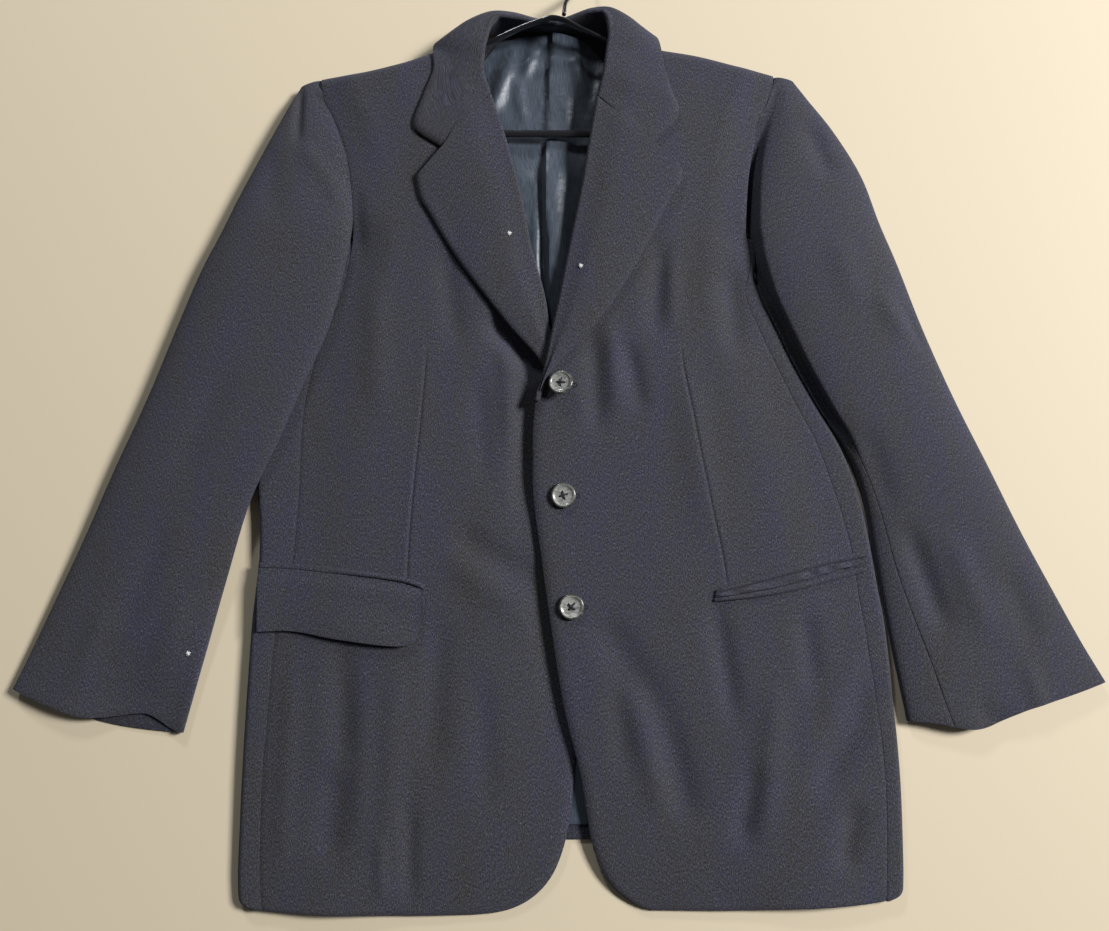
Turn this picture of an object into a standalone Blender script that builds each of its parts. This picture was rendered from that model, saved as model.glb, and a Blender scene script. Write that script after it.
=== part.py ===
"""A single-breasted wool sport coat, laid face up on a flat surface on its hanger.

Every table is in millimetres. x runs to the viewer's right, y from the front hem to the
collar and z up from the surface. Each cloth piece is an open grid of points on its outer
face, drawn inwards into a wall. Left and right are the viewer's.
"""

import math
from bisect import bisect_right

import bmesh
import bpy
from mathutils import Matrix, Vector
from mathutils.bvhtree import BVHTree

MM = 0.001

WOOL = 2.2              # wool, canvas and lining pressed into one wall
COLLAR_WALL = 2.0
TRIM_WALL = 1.6         # jets and the strip of the tucked flap
LINING_WALL = 1.2
SEAM = 0.5              # between the outer faces of pieces sewn edge to edge
ARMHOLE_SEAM = 1.2      # between the body and the sleeves
SLEEVE_SEAM = 0.8
LAYER = 0.8             # between pieces that lie on each other
ROLL = 3.0              # radius of the fold of the lapels and the collar

CUT_WIDTH = 75.0        # the rounded front corner, from the hem to the straight edge
CUT_HEIGHT = 76.0
CUT_SHAPE = 2.2
BREAK = 470.0           # where the lapels begin to roll
GORGE = 740.0           # where they meet the collar
UNDERARM = 597.0        # where the side bodies end
ROW_HEIGHTS = [         # heights of the rows of points, of 770 at the shoulder
    0, 8, 18, 30, 44, 60, 76, 103, 140, 185, 230, 270, 310, 350, 390, 425, 447, 459, 471,
    489, 515, 549, 573, 597, 610, 640, 670, 696, 712, 724, 736, 748, 757, 763, 767, 770,
]
ROWS = len(ROW_HEIGHTS) - 1
UNDERARM_ROW = ROW_HEIGHTS.index(597)
SLEEVE_ROWS = [         # rows of a sleeve, by the share of its length
    0.0, 0.02, 0.05, 0.09, 0.13, 0.165, 0.2, 0.225, 0.25, 0.275, 0.3, 0.33, 0.37, 0.43, 0.5,
    0.57, 0.64, 0.71, 0.78, 0.86, 0.93, 1.0,
]
NOSE = 13.0             # how far the cloth rounds over at the shoulder line
SIDE_NOSE = 5.6         # and at the side edges
SHOULDER_TOP = 770.0

BUTTON_RADIUS = 11.4
BUTTON_THICK = 3.4
SHANK_RADIUS = 1.7
SHANK_HOLE = 2.3
EYE_RADIUS = 0.95       # the four sewing holes, and how far out they lie
EYE_OUT = 3.6
HANGER_ROD = 3.4        # radius of the arms
BAR_ROD = 2.6
HOOK_ROD = 2.0

NAVY = (0.035, 0.036, 0.052)
SATIN = (0.060, 0.082, 0.110)
HORN = (0.190, 0.200, 0.180)
BLACK = (0.012, 0.012, 0.013)


class Table:
    """Rows of a section table with named columns, read smoothly by the first column."""

    def __init__(self, columns, rows):
        self.keys = [row[0] for row in rows]
        self.columns = {name: [row[i] for row in rows] for i, name in enumerate(columns)}
        self.slopes = {name: self.tangents(values) for name, values in self.columns.items()}

    def tangents(self, values):
        """A slope at each row that never lets the curve overshoot its rows."""
        steps = [
            (values[i + 1] - values[i]) / (self.keys[i + 1] - self.keys[i])
            for i in range(len(values) - 1)
        ]
        slopes = [steps[0]]
        for before, after in zip(steps, steps[1:]):
            if before * after <= 0.0:
                slopes.append(0.0)
            else:
                slopes.append(2.0 * before * after / (before + after))
        slopes.append(steps[-1])
        return slopes

    def at(self, key, column):
        keys, values = self.keys, self.columns[column]
        key = min(max(key, keys[0]), keys[-1])
        i = min(bisect_right(keys, key), len(keys) - 1) - 1
        width = keys[i + 1] - keys[i]
        t = (key - keys[i]) / width
        slopes = self.slopes[column]
        return (
            (1 + 2 * t) * (1 - t) ** 2 * values[i]
            + t * (1 - t) ** 2 * width * slopes[i]
            + t * t * (3 - 2 * t) * values[i + 1]
            + t * t * (t - 1) * width * slopes[i + 1]
        )

    def point(self, key, *names):
        return Vector([self.at(key, name) for name in names])


# Plan of the body: the free front edges, the side edges and the seams in front of them.
BODY = Table(
    ("y", "over", "under", "side_right", "front_right", "side_left", "front_left"),
    [
        (0, 32, 9, 299, 284, -271, -250),
        (40, 32, 9, 302, 287, -274, -254),
        (103, 25, 16, 303, 289, -274, -255),
        (175, 8, 21, 300.5, 285, -273, -252),
        (216, 1, 23, 298, 280, -272, -250),
        (249, -4, 25, 295.4, 276, -271, -247),
        (276, -8, 26, 291.4, 272, -269, -240),
        (306, -12, 27, 287.4, 269, -267, -235),
        (340, -17, 27, 282.4, 262, -268.5, -233),
        (375, -20, 27, 274.8, 252, -272, -232),
        (411, -20, 27, 260.8, 240, -270, -232),
        (446, -18, 27, 241.4, 223, -262, -230),
        (488, -9, 27, 220, 204, -246, -222),
        (516, -3, 27, 208, 192, -232, -213),
        (549, -3, 27, 194, 180, -216, -201),
        (597, -3, 27, 181, 174.6, -196, -189.6),
    ],
)

# The neck seam of each front, above the lapels.
NECK = Table(
    ("y", "right", "left"),
    [(740, 47, -68), (748, 55, -77), (764, 66.6, -90.4), (782, 77.4, -98.4), (800, 84.4, -100.6)],
)

# The shoulder line, where front and back meet, and how high the seam stands there.
SHOULDER = Table(
    ("x", "y", "seam"),
    [
        (-240, 761, 7),
        (-224, 763, 7.5),
        (-196, 766, 9),
        (-148, 777, 12),
        (-107, 792, 16),
        (-90, 798, 18),
        (70, 800, 18),
        (99, 794, 16),
        (134, 787, 12),
        (181, 775, 9),
        (213, 768, 7.5),
        (230, 763, 7),
    ],
)

HEM = Table(
    ("x", "y"),
    [(-275, 7), (-249, 4), (-180, 0), (-108, -1), (0, 1), (97, 3), (137, 3), (220, 6), (265, 9), (300, 14)],
)

# Height of the front's outer face from its free edge to its side.
OVER_HEIGHT = Table(
    ("y", "edge", "inner", "outer", "side"),
    [
        (0, 4.4, 6, 11.4, 8.8),
        (45, 9, 9.5, 12, 9.6),
        (120, 14, 13, 13, 10.6),
        (220, 17, 16, 14.5, 11.4),
        (340, 18, 17, 16, 12),
        (440, 19, 18, 16.5, 12),
        (490, 19.6, 19, 17, 12),
        (560, 21.6, 20.5, 18, 12),
        (640, 24.6, 23, 20, 13),
        (720, 27, 25, 23, 17),
        (800, 26.5, 26.5, 25, 20),
    ],
)
UNDER_HEIGHT = Table(
    ("y", "edge", "inner", "outer", "side"),
    [
        (0, 4.2, 6, 11.4, 8.8),
        (45, 7.4, 9, 12, 9.6),
        (120, 8, 12, 12.5, 10.6),
        (220, 8, 13.5, 14, 11.4),
        (340, 8, 14.5, 15, 12),
        (440, 8, 15, 16, 12),
        (490, 10, 16, 17, 12),
        (560, 18, 18, 18, 12),
        (640, 23.6, 21.5, 20, 13),
        (720, 27, 25, 23, 17),
        (800, 26.5, 26.5, 25, 20),
    ],
)

# Main creases: soft troughs below nought, ridges above, from one end to the other.
FOLDS = [
    # piece, from x, y, to x, y, half width, height
    ("under", -103, 589, -92, 506, 11, -1.6),
    ("under", -46, 512, -38, 403, 8, 1.6),
    ("under", -89, 326, -22, 286, 11, -2.0),
    ("under", -94, 303, -31, 259, 12, 1.4),
    ("under", -185, 216, -187, 31, 14, -1.8),
    ("under", -102, 250, -108, 130, 12, -1.4),
    ("under", -140, 210, -146, 60, 13, 1.4),
    ("under", -232, 205, -236, 40, 9, 1.0),
    ("over", 35, 512, 39, 422, 8, -1.8),
    ("over", 68, 501, 79, 450, 8, -1.3),
    ("over", 99, 600, 93, 516, 10, -1.6),
    ("over", 165, 574, 167, 497, 11, -1.6),
    ("over", 40, 250, 97, 164, 14, -2.0),
    ("over", 97, 164, 117, 80, 13, -1.8),
    ("over", 70, 190, 92, 90, 10, 1.4),
    ("over", 143, 262, 158, 164, 10, -1.8),
    ("over", 223, 255, 229, 190, 10, -1.6),
    ("over", 284, 190, 230, 105, 13, -2.2),
    ("over", 196, 190, 178, 70, 12, 1.6),
    ("over", 262, 92, 250, 40, 10, -1.6),
    ("over", 178, 122, 160, 70, 11, -1.6),
    ("over", 120, 470, 138, 330, 16, 1.2),
]

# The lapels, from their lower tip up to the notch.
LAPEL_RIGHT = Table(
    ("v", "roll_x", "roll_y", "roll_z", "tip_x", "tip_y", "tip_z"),
    [
        (0.0, -18.6, 446, 22.6, -10, 448, 22.6),
        (0.06, -13.6, 466, 22.8, -2, 468, 22.8),
        (0.12, -8, 488, 23.2, 10, 487, 23),
        (0.22, -3, 513, 24, 33, 513, 23.6),
        (0.38, 3, 541, 25, 60, 550, 24.4),
        (0.55, 14, 597, 27.4, 86, 595, 25.8),
        (0.75, 25, 652, 29.4, 109, 641, 27.2),
        (0.87, 32, 695, 30.4, 118, 655, 27.6),
        (1.0, 40, 740, 31, 120, 666, 28),
    ],
)
LAPEL_LEFT = Table(
    ("v", "roll_x", "roll_y", "roll_z", "tip_x", "tip_y", "tip_z"),
    [
        (0.0, 16, 464, 13, 6, 461, 13),
        (0.06, 10, 479, 13.4, -6, 475, 13.4),
        (0.12, 4, 495, 14.4, -18, 492, 14.4),
        (0.22, -3, 515, 17.4, -40, 516, 17.6),
        (0.38, -9, 549, 20.8, -68, 551, 20.8),
        (0.55, -21, 593, 24, -93, 585, 23.4),
        (0.75, -33, 652, 28, -117, 625, 25.6),
        (0.87, -45, 697, 30, -127, 643, 26.4),
        (1.0, -60, 742, 31, -131, 659, 27),
    ],
)

# Sections across the collar: its neck seam, the top of its roll and the edge of its leaf.
# lean is the roll's turn from lying flat to standing up, drop how late the leaf falls away.
COLLAR = Table(
    (
        "s", "seam_x", "seam_y", "seam_z", "roll_x", "roll_y", "roll_z",
        "edge_x", "edge_y", "edge_z", "lean", "drop",
    ),
    [
        (0, 43.2, 741.2, 24.6, 40.4, 741.4, 31, 92.5, 694.6, 28.4, 0, 1),
        (1, 50.8, 748.6, 24.4, 42, 748, 31, 118, 725, 28.4, 0, 1),
        (2, 62.6, 764.4, 24.4, 46, 765, 32, 111, 747, 29.8, 0, 1),
        (3, 74.6, 782, 24.4, 49, 787, 33, 104, 773, 31, 5, 1),
        (4, 81.6, 800, 23, 51, 802, 34, 100, 802, 24, 15, 3),
        (5, 67, 808, 15, 50.5, 815, 34, 86, 821, 9, 45, 4),
        (6, 46, 814, 5, 46, 825.5, 33.5, 59, 837.5, 4, 70, 3),
        (7, 24, 819, 3, 32, 827.5, 30.5, 39, 842, 2.2, 85, 2),
        (8, -4, 823, 2.8, -4, 820, 24, -4, 836, 2.2, 90, 1.2),
        (9, -34, 823.6, 3, -36, 823.5, 28.5, -42, 839.5, 2.2, 85, 2),
        (10, -55, 819.5, 5, -53, 822, 32.5, -67, 834, 4, 70, 3),
        (11, -78, 811, 15, -60, 812.5, 33.4, -99, 818, 9, 45, 4),
        (12, -97, 799, 23, -63, 800, 33, -117, 795, 24, 15, 3),
        (13, -95.6, 783, 24.4, -66, 785, 32, -115, 772, 30.6, 5, 1),
        (14, -87.6, 765, 24.4, -67, 764, 31, -124, 745, 29.4, 0, 1),
        (15, -74.6, 750, 24.4, -62, 750, 31, -134, 714, 28, 0, 1),
        (16, -66, 743.4, 24.6, -60.4, 743.8, 31, -106, 690, 27.6, 0, 1),
    ],
)

# Sleeves: the armhole and inner edge against the outer edge, by the share of the length.
# tall is the height of the puffed section, lift how far its inner edge rides up on the
# body, seam the angle round the section at which the under sleeve's front seam lies.
SLEEVE_RIGHT = Table(
    ("t", "inner_x", "inner_y", "outer_x", "outer_y", "tall", "lift", "seam"),
    [
        (0.0, 212.6, 768, 233, 766, 22, 0, 0),
        (0.05, 208.6, 752, 245, 748, 25, 0, 0),
        (0.12, 197.2, 720, 269, 714, 28, 0, 0),
        (0.2, 184.6, 660, 295, 665, 30, 0, 0),
        (0.26, 181.6, 614, 309, 620, 30, 0, 6),
        (0.31, 190, 576, 322, 584, 29, 0, 24),
        (0.4, 205.5, 528, 343, 520, 28, 0, 30),
        (0.5, 240.6, 453, 369, 452, 26, 0, 30),
        (0.6, 263.4, 412, 397, 388, 24, 0, 30),
        (0.7, 281, 360, 424, 326, 21, 0, 34),
        (0.8, 290, 300, 448, 276, 18, 0, 40),
        (0.9, 300, 234, 470, 231, 15.5, 0, 50),
        (1.0, 312, 162, 489, 196, 13.5, 0, 60),
    ],
)
SLEEVE_LEFT = Table(
    ("t", "inner_x", "inner_y", "outer_x", "outer_y", "tall", "lift", "seam"),
    [
        (0.0, -227.6, 761.4, -247, 759, 21, 0, 0),
        (0.05, -222, 745, -258, 738, 24, 0, 0),
        (0.12, -210.6, 722, -280, 692, 27, 0, 0),
        (0.2, -195.6, 676, -302, 645, 29, 0, 0),
        (0.26, -190.6, 622, -318, 607, 29, 9, -8),
        (0.29, -191.6, 601, -327, 588, 29, 13.4, -18),
        (0.32, -195, 580, -335, 569, 29, 13.6, -24),
        (0.4, -208, 520, -352, 522, 28, 13.4, -30),
        (0.5, -229, 468, -377, 450, 27, 13.6, -34),
        (0.6, -251, 412, -403, 384, 25, 13.6, -36),
        (0.7, -275, 357, -425, 325, 21, 11, -38),
        (0.8, -296, 284, -445, 275, 17.5, 3, -40),
        (0.9, -312, 220, -464, 228, 15, 0, -42),
        (1.0, -328, 152, -480, 190, 14.5, 0, -42),
    ],
)
HIND_SEAM = 240.0       # angle round the sleeve of its back seam
LIFT_FLAT_LEFT = 0.27   # share of the left sleeve's width that lies on the body
LIFT_FLAT_RIGHT = 0.05
LIFT_RUN = 0.42         # share over which it comes down to the surface

LINING_TOP = Table(
    ("x", "y"),
    [(-175, 742), (-120, 762), (-80, 780), (-52, 812), (-6, 820), (28, 812), (56, 784), (110, 762), (165, 742)],
)
LINING_HEM = 74.0
BACK_RISE = 60.0        # how much higher the back hem hangs at the centre seam

# The flap, by the share of its length: its upper edge and its lower edge.
FLAP = Table(
    ("u", "top_x", "top_y", "low_x", "low_y"),
    [
        (0.0, -116, 276.6, -116.2, 262),
        (0.03, -119, 278.2, -119.4, 242),
        (0.08, -127, 281, -124, 231),
        (0.16, -139, 284, -136, 227.8),
        (0.5, -194, 291, -190, 233.5),
        (0.85, -248, 296.2, -240, 241),
        (1.0, -265.6, 296.5, -264, 240.2),
    ],
)
JET_LEFT = 4.6

# The mouth of the right pocket, from the lower seam of one jet to the upper of the other.
MOUTH = Table(
    ("u", "low_x", "low_y", "high_x", "high_y"),
    [
        (0.0, 142, 266.4, 144, 277),
        (0.25, 181, 270.6, 178, 287.4),
        (0.5, 216, 276.7, 213, 297.5),
        (0.75, 247, 284.5, 247, 306),
        (1.0, 279, 293, 280, 311),
    ],
)

BUTTONS = [
    # name, x, y, tilt in degrees
    ("button_top", 6.0, 463.0, 14.0),
    ("button_middle", 8.0, 361.0, 0.0),
    ("button_bottom", 15.0, 262.0, 0.0),
]

# The hanger: the arms with their turned ends, the bar between these and the hook.
ARMS = [
    (-191.5, 712, 10), (-198.5, 716, 9), (-201, 726, 8.2), (-199, 737, 8.2), (-192, 746, 9),
    (-170, 757, 11), (-148, 767, 13.5), (-124, 777, 16), (-100, 787, 18), (-80, 794.5, 20),
    (-61, 801, 22.4), (-44, 807.5, 25), (-28, 813.4, 27.4), (-12, 818, 29.4), (-2, 820, 30.6),
    (8, 818, 30.6), (20, 812.5, 29), (36, 806, 26.6), (52, 800, 23.4), (76, 790.5, 19.4),
    (100, 781.5, 17), (124, 772.5, 14.4), (146, 763, 12), (164, 754, 10), (177, 745, 8.6),
    (183, 736, 8), (183.5, 726, 8), (180.5, 717, 8.6), (173, 712, 9.6),
]
BAR = [
    (-189.6, 711.4, 10.2), (-150, 711, 11.6), (-80, 711, 13), (-5, 711, 13), (70, 711, 13),
    (130, 711, 11.6), (171.1, 711.4, 10),
]
HOOK = [
    (9, 822.4, 31.6), (10, 834, 29), (13, 843, 26), (20, 852, 22), (30, 862, 17), (35.4, 875, 12),
    (32, 888.5, 8.6), (21, 898, 6.4), (7, 899.6, 5), (-4.6, 892, 4), (-9.6, 879, 3.2), (-9, 872, 2.8),
]


def clamp(value, low=0.0, high=1.0):
    return min(max(value, low), high)


def mix(a, b, share):
    return a + (b - a) * share


def ease(value, start, end):
    """Nought at start, one at end, smooth at both."""
    t = clamp((value - start) / (end - start))
    return t * t * (3.0 - 2.0 * t)


def crowd(v, share=0.9):
    """Spread rows closer together near both ends."""
    return mix(v, (1.0 - math.cos(math.pi * v)) / 2.0, share)


def row_level(rows, v):
    """The value at row v of a list, with v counted in shares of all the rows."""
    place = clamp(v) * (len(rows) - 1)
    i = min(int(place), len(rows) - 2)
    return mix(rows[i], rows[i + 1], place - i) / rows[-1]


def quarter(t):
    """Height of a quarter circle, nought at t = 0 and one from t = 1 on."""
    return math.sqrt(1.0 - (1.0 - clamp(t)) ** 2)


def cutaway(y):
    """How far the rounded front corner has drawn back from the straight edge at a height."""
    t = clamp((CUT_HEIGHT - y) / CUT_HEIGHT)
    return CUT_WIDTH * (1.0 - (1.0 - t**CUT_SHAPE) ** (1.0 / CUT_SHAPE))


def fold_height(piece, x, y):
    """Sum of the creases of one piece at a point, each fading out along its length."""
    total = 0.0
    for owner, x0, y0, x1, y1, half, height in FOLDS:
        if owner != piece:
            continue
        length = math.hypot(x1 - x0, y1 - y0)
        ux, uy = (x1 - x0) / length, (y1 - y0) / length
        along = ((x - x0) * ux + (y - y0) * uy) / length
        across = (x - x0) * uy - (y - y0) * ux
        reach = ease(along, -0.15, 0.25) * (1.0 - ease(along, 0.75, 1.15))
        total += height * reach * math.exp(-((across / half) ** 2))
    return total


def key_where(table, column, value):
    """The key at which a column that only rises, or only falls, has a value."""
    low, high = table.keys[0], table.keys[-1]
    rising = table.at(high, column) > table.at(low, column)
    for _ in range(30):
        middle = (low + high) / 2.0
        if (table.at(middle, column) < value) == rising:
            low = middle
        else:
            high = middle
    return (low + high) / 2.0


def armhole(side, y):
    """x of the seam between the body and a sleeve at a height."""
    table = SLEEVE_RIGHT if side > 0 else SLEEVE_LEFT
    return table.at(key_where(table, "inner_y", y), "inner_x")


def front_edges(side, y):
    """x of the inner and the outer edge of a front at a height."""
    free = BODY.at(y, "over" if side > 0 else "under") + side * cutaway(y)
    lapel = LAPEL_RIGHT if side > 0 else LAPEL_LEFT
    under_roll = lapel.at(key_where(lapel, "roll_y", y), "roll_x") + side * (ROLL + 1.6)
    neck = NECK.at(y, "right" if side > 0 else "left")
    inner = mix(free, under_roll, ease(y, BREAK - 20.0, BREAK))
    inner = mix(inner, neck, ease(y, GORGE - 8.0, GORGE + 4.0))
    seam = BODY.at(y, "front_right" if side > 0 else "front_left")
    sewn = armhole(side, y) - side * ARMHOLE_SEAM
    return inner, mix(seam - side * SEAM, sewn, ease(y, UNDERARM + 6.0, UNDERARM + 14.0))


def front_height(side, u, x, y):
    """Outer face of a front, u from its inner to its outer edge."""
    table = OVER_HEIGHT if side > 0 else UNDER_HEIGHT
    profile = [table.at(y, name) for name in ("edge", "inner", "outer", "side")]
    if u < 0.35:
        z = mix(profile[0], profile[1], ease(u, 0.0, 0.35))
    elif u < 0.75:
        z = mix(profile[1], profile[2], ease(u, 0.35, 0.75))
    else:
        z = mix(profile[2], profile[3], ease(u, 0.75, 1.0))
    if side < 0:
        trough = ease(x, BODY.at(y, "over") - 24.0, BODY.at(y, "over") - 8.0)
        trough *= 1.0 - ease(y, 470.0, 500.0)
        z = mix(z, min(z, UNDER_HEIGHT.at(y, "edge") - 0.4), trough)
    groove = 5.0 * ease(y, UNDERARM, UNDERARM + 35.0)
    z -= groove * math.exp(-(((front_edges(side, y)[1] - x) / 11.0) ** 2))
    z += fold_height("over" if side > 0 else "under", x, y)
    below = SHOULDER.at(x, "y") - y
    if below < NOSE:
        seam = SHOULDER.at(x, "seam")
        z = mix(seam, z, quarter((below + 0.6) / NOSE))
    return z


def front_point(side, u, v):
    level = row_level(ROW_HEIGHTS, v)
    y = level * SHOULDER_TOP
    x = 0.0
    for _ in range(12):
        inner, outer = front_edges(side, y)
        x = mix(inner, outer, u)
        y = mix(y, mix(HEM.at(x, "y"), SHOULDER.at(x, "y") - SEAM, level), 0.7)
    return Vector((x, y, front_height(side, u, x, y)))


def side_point(side, u, v):
    """A side body, u from the front seam round the side edge to the back seam."""
    row = v * UNDERARM_ROW / ROWS
    front = front_point(side, 1.0, row)
    back = back_point(side, 1.0, row)
    seam, reach = abs(front.x) + SEAM, abs(back.x) + SEAM
    turns = u * 10.0
    y = mix(front.y, back.y, ease(turns, 3.0, 8.0))
    edge = abs(BODY.at(y, "side_right" if side > 0 else "side_left")) - SIDE_NOSE
    if turns <= 2.0:
        out, z = mix(seam, edge, turns / 2.0), front.z
    elif turns <= 8.0:
        angle = math.radians(90.0 - (turns - 2.0) * 30.0)
        out = edge + SIDE_NOSE * math.cos(angle)
        z = front.z / 2.0 * (1.0 + math.sin(angle))
    else:
        out, z = mix(edge, reach, (turns - 8.0) / 2.0), 0.0
    return Vector((side * out, y, z))


def back_reach(side, y):
    """How far out the back runs before the side body takes over underneath."""
    edge = abs(BODY.at(y, "side_right" if side > 0 else "side_left"))
    return edge - mix(62.0, 14.0, ease(y, 420.0, UNDERARM))


def back_rise(x):
    """The back hem climbs from the side edges to the centre seam."""
    return BACK_RISE * (1.0 - clamp(abs(x) / 285.0) ** 2.2)


def back_point(side, u, v):
    """Half a back, u from the centre seam out, face down on the surface."""
    level = row_level(ROW_HEIGHTS, v)
    y = level * SHOULDER_TOP
    x = 0.0
    for _ in range(12):
        sewn = abs(armhole(side, y)) - ARMHOLE_SEAM
        outer = mix(back_reach(side, y), sewn, ease(y, UNDERARM + 16.0, UNDERARM + 24.0))
        x = side * mix(SEAM / 2.0, outer, u)
        top = SHOULDER.at(x, "y")
        neck = ease(abs(x + 8.0), 92.0, 30.0)
        top = mix(top, 825.0, neck) - SEAM
        bottom = HEM.at(x, "y") + back_rise(x)
        y = mix(y, mix(bottom, top, level), 0.7)
    z = 0.0
    below = SHOULDER.at(x, "y") - y
    stand = (SHOULDER.at(x, "seam") - 2.0 * SEAM) * ease(abs(x + 8.0), 72.0, 96.0)
    if below < NOSE:
        z = stand * (1.0 - quarter((below - SEAM) / NOSE))
    return Vector((x, y, max(z, 0.0)))


def lining_point(u, v):
    """The back lining, lying on the back, with its pleat and a few soft folds."""
    level = crowd(v, 0.4)
    x = mix(-175.0, 165.0, u)
    shrink = ease(level, 0.0, 0.12)
    x *= mix(1.0, 1.12, 1.0 - ease(level, 0.5, 0.8)) * mix(0.97, 1.0, shrink)
    y = mix(LINING_HEM, LINING_TOP.at(x, "y"), level)
    z = WOOL + 0.4 + LINING_WALL
    pleat = -3.0 - 6.0 * math.sin(math.pi * clamp((y - 500.0) / 320.0))
    beside = ease(x, pleat - 1.0, pleat + 1.0) * (1.0 - ease(x, pleat + 8.0, pleat + 34.0))
    z += 1.8 * ease(y, 470.0, 520.0) * beside
    z += 3.0 * math.exp(-(((x + 50.0) / 13.0) ** 2) - ((y - 768.0) / 30.0) ** 2)
    z += 2.4 * math.exp(-(((x - 28.0) / 12.0) ** 2) - ((y - 770.0) / 45.0) ** 2)
    z += 2.0 * math.exp(-(((x + 36.0) / 10.0) ** 2) - ((y - 650.0) / 60.0) ** 2)
    return Vector((x, y, z))


def hairpin(seam, roll, edge, lean, drop, radius, share):
    """A point on a folded strip: up the inner side, over the roll and out to the edge."""
    out = Vector((edge.x - roll.x, edge.y - roll.y, 0.0)).normalized()
    tip = Vector((-out.x * math.cos(lean), -out.y * math.cos(lean), math.sin(lean)))
    inner = Vector((-out.x * math.sin(lean), -out.y * math.sin(lean), -math.cos(lean)))
    centre = roll - tip * radius
    start, end = 0.22, 0.48
    if share < start:
        return seam.lerp(centre + inner * radius, share / start)
    if share < end:
        angle = math.pi * (share - start) / (end - start)
        return centre + inner * radius * math.cos(angle) + tip * radius * math.sin(angle)
    t = (share - end) / (1.0 - end)
    first = centre - inner * radius
    place = first.lerp(edge, t)
    place.z = mix(first.z, edge.z, t**drop)
    return place


def collar_point(u, v):
    s = v * 16.0
    seam = COLLAR.point(s, "seam_x", "seam_y", "seam_z")
    roll = COLLAR.point(s, "roll_x", "roll_y", "roll_z")
    edge = COLLAR.point(s, "edge_x", "edge_y", "edge_z")
    lean = math.radians(COLLAR.at(s, "lean"))
    return hairpin(seam, roll, edge, lean, COLLAR.at(s, "drop"), ROLL, u)


def lapel_point(side, u, v):
    """A lapel: from where the front meets it under the roll, over the roll to its edge."""
    table = LAPEL_RIGHT if side > 0 else LAPEL_LEFT
    roll = table.point(v, "roll_x", "roll_y", "roll_z")
    tip = table.point(v, "tip_x", "tip_y", "tip_z")
    out = Vector((tip.x - roll.x, tip.y - roll.y, 0.0))
    width = out.length
    out.normalize()
    centre = roll + out * ROLL - Vector((0.0, 0.0, ROLL))
    turn = 0.26
    if u < turn:
        sweep = mix(math.radians(40.0), math.pi, ease(v, 0.04, 0.34))
        angle = math.pi - sweep * (1.0 - u / turn)
        return centre - out * ROLL * math.sin(angle) - Vector((0, 0, ROLL * math.cos(angle)))
    t = (u - turn) / (1.0 - turn)
    place = (roll + out * ROLL).lerp(tip, t)
    place.z += 1.6 * math.sin(math.pi * t) * ease(width, 20.0, 70.0)
    return place


def sleeve_cap(t):
    """One in the sleeve's head, along the armhole, and nought in the tube below it."""
    return 1.0 - ease(t, 0.2, 0.275)


def sleeve_section(side, t, angle):
    """A point round a sleeve's section: 0 at its inner edge, 180 at its outer edge."""
    table = SLEEVE_RIGHT if side > 0 else SLEEVE_LEFT
    inner = table.point(t, "inner_x", "inner_y")
    outer = table.point(t, "outer_x", "outer_y")
    tall, lift = table.at(t, "tall"), table.at(t, "lift")
    cap = sleeve_cap(t)
    turn = math.radians(angle)
    c, s = -math.cos(turn), math.sin(turn)
    across = math.copysign(abs(c) ** 0.85, c)
    share = (1.0 + across) / 2.0
    start = LIFT_FLAT_RIGHT if side > 0 else LIFT_FLAT_LEFT
    floor = lift * (1.0 - ease(share, start, start + LIFT_RUN))
    inner_mid = mix(mix(lift, lift + (tall - lift) * 0.5, 0.86), 9.4, cap)
    middle = mix(inner_mid, 7.0, ease(share, 0.0, 0.9))
    top = tall * (1.0 - 0.12 * share)
    if s >= 0.0:
        z = middle + (top - middle) * abs(s) ** 0.72
    else:
        z = middle - (middle - floor) * abs(s) ** 0.3
    bow = -9.0 * math.sin(math.pi * share) * ease(t, 0.9, 1.0)
    place = inner.lerp(outer, share)
    return Vector((place.x, place.y + bow, z))


def top_sleeve_point(side, u, v):
    table = SLEEVE_RIGHT if side > 0 else SLEEVE_LEFT
    t = row_level(SLEEVE_ROWS, v)
    return sleeve_section(side, t, mix(table.at(t, "seam"), HIND_SEAM, u))


def past_seam(side, t, angle, way):
    """The angle a seam's width past the top sleeve's edge."""
    edge = sleeve_section(side, t, angle)
    moved = angle
    while (sleeve_section(side, t, moved) - edge).length < SLEEVE_SEAM and abs(moved - angle) < 40.0:
        moved += way * 0.2
    return moved


def under_sleeve_point(side, u, v):
    """The under half: a loop below the armhole, a flat sheet under the sleeve's head."""
    table = SLEEVE_RIGHT if side > 0 else SLEEVE_LEFT
    t = row_level(SLEEVE_ROWS, v)
    first = past_seam(side, t, HIND_SEAM, 1.0)
    last = past_seam(side, t, table.at(t, "seam"), -1.0) + 360.0
    loop = sleeve_section(side, t, mix(first, last, u))
    start = sleeve_section(side, t, first)
    inner = table.point(t, "inner_x", "inner_y")
    flat = start.lerp(Vector((inner.x, inner.y, 0.0)), u)
    return loop.lerp(flat, sleeve_cap(t))


def flap_point(u, v):
    """The flap: u from its front end to its side end, v down from its seam."""
    u = crowd(u, 0.6)
    top, low = FLAP.point(u, "top_x", "top_y"), FLAP.point(u, "low_x", "low_y")
    place = top.lerp(low, v)
    return Vector((place.x, place.y - SEAM, 0.0))


def jet_left_point(u, v):
    """The jet above the flap."""
    top = FLAP.point(u, "top_x", "top_y")
    return Vector((top.x, top.y + SEAM + JET_LEFT * (1.0 - v), 0.0))


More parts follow.
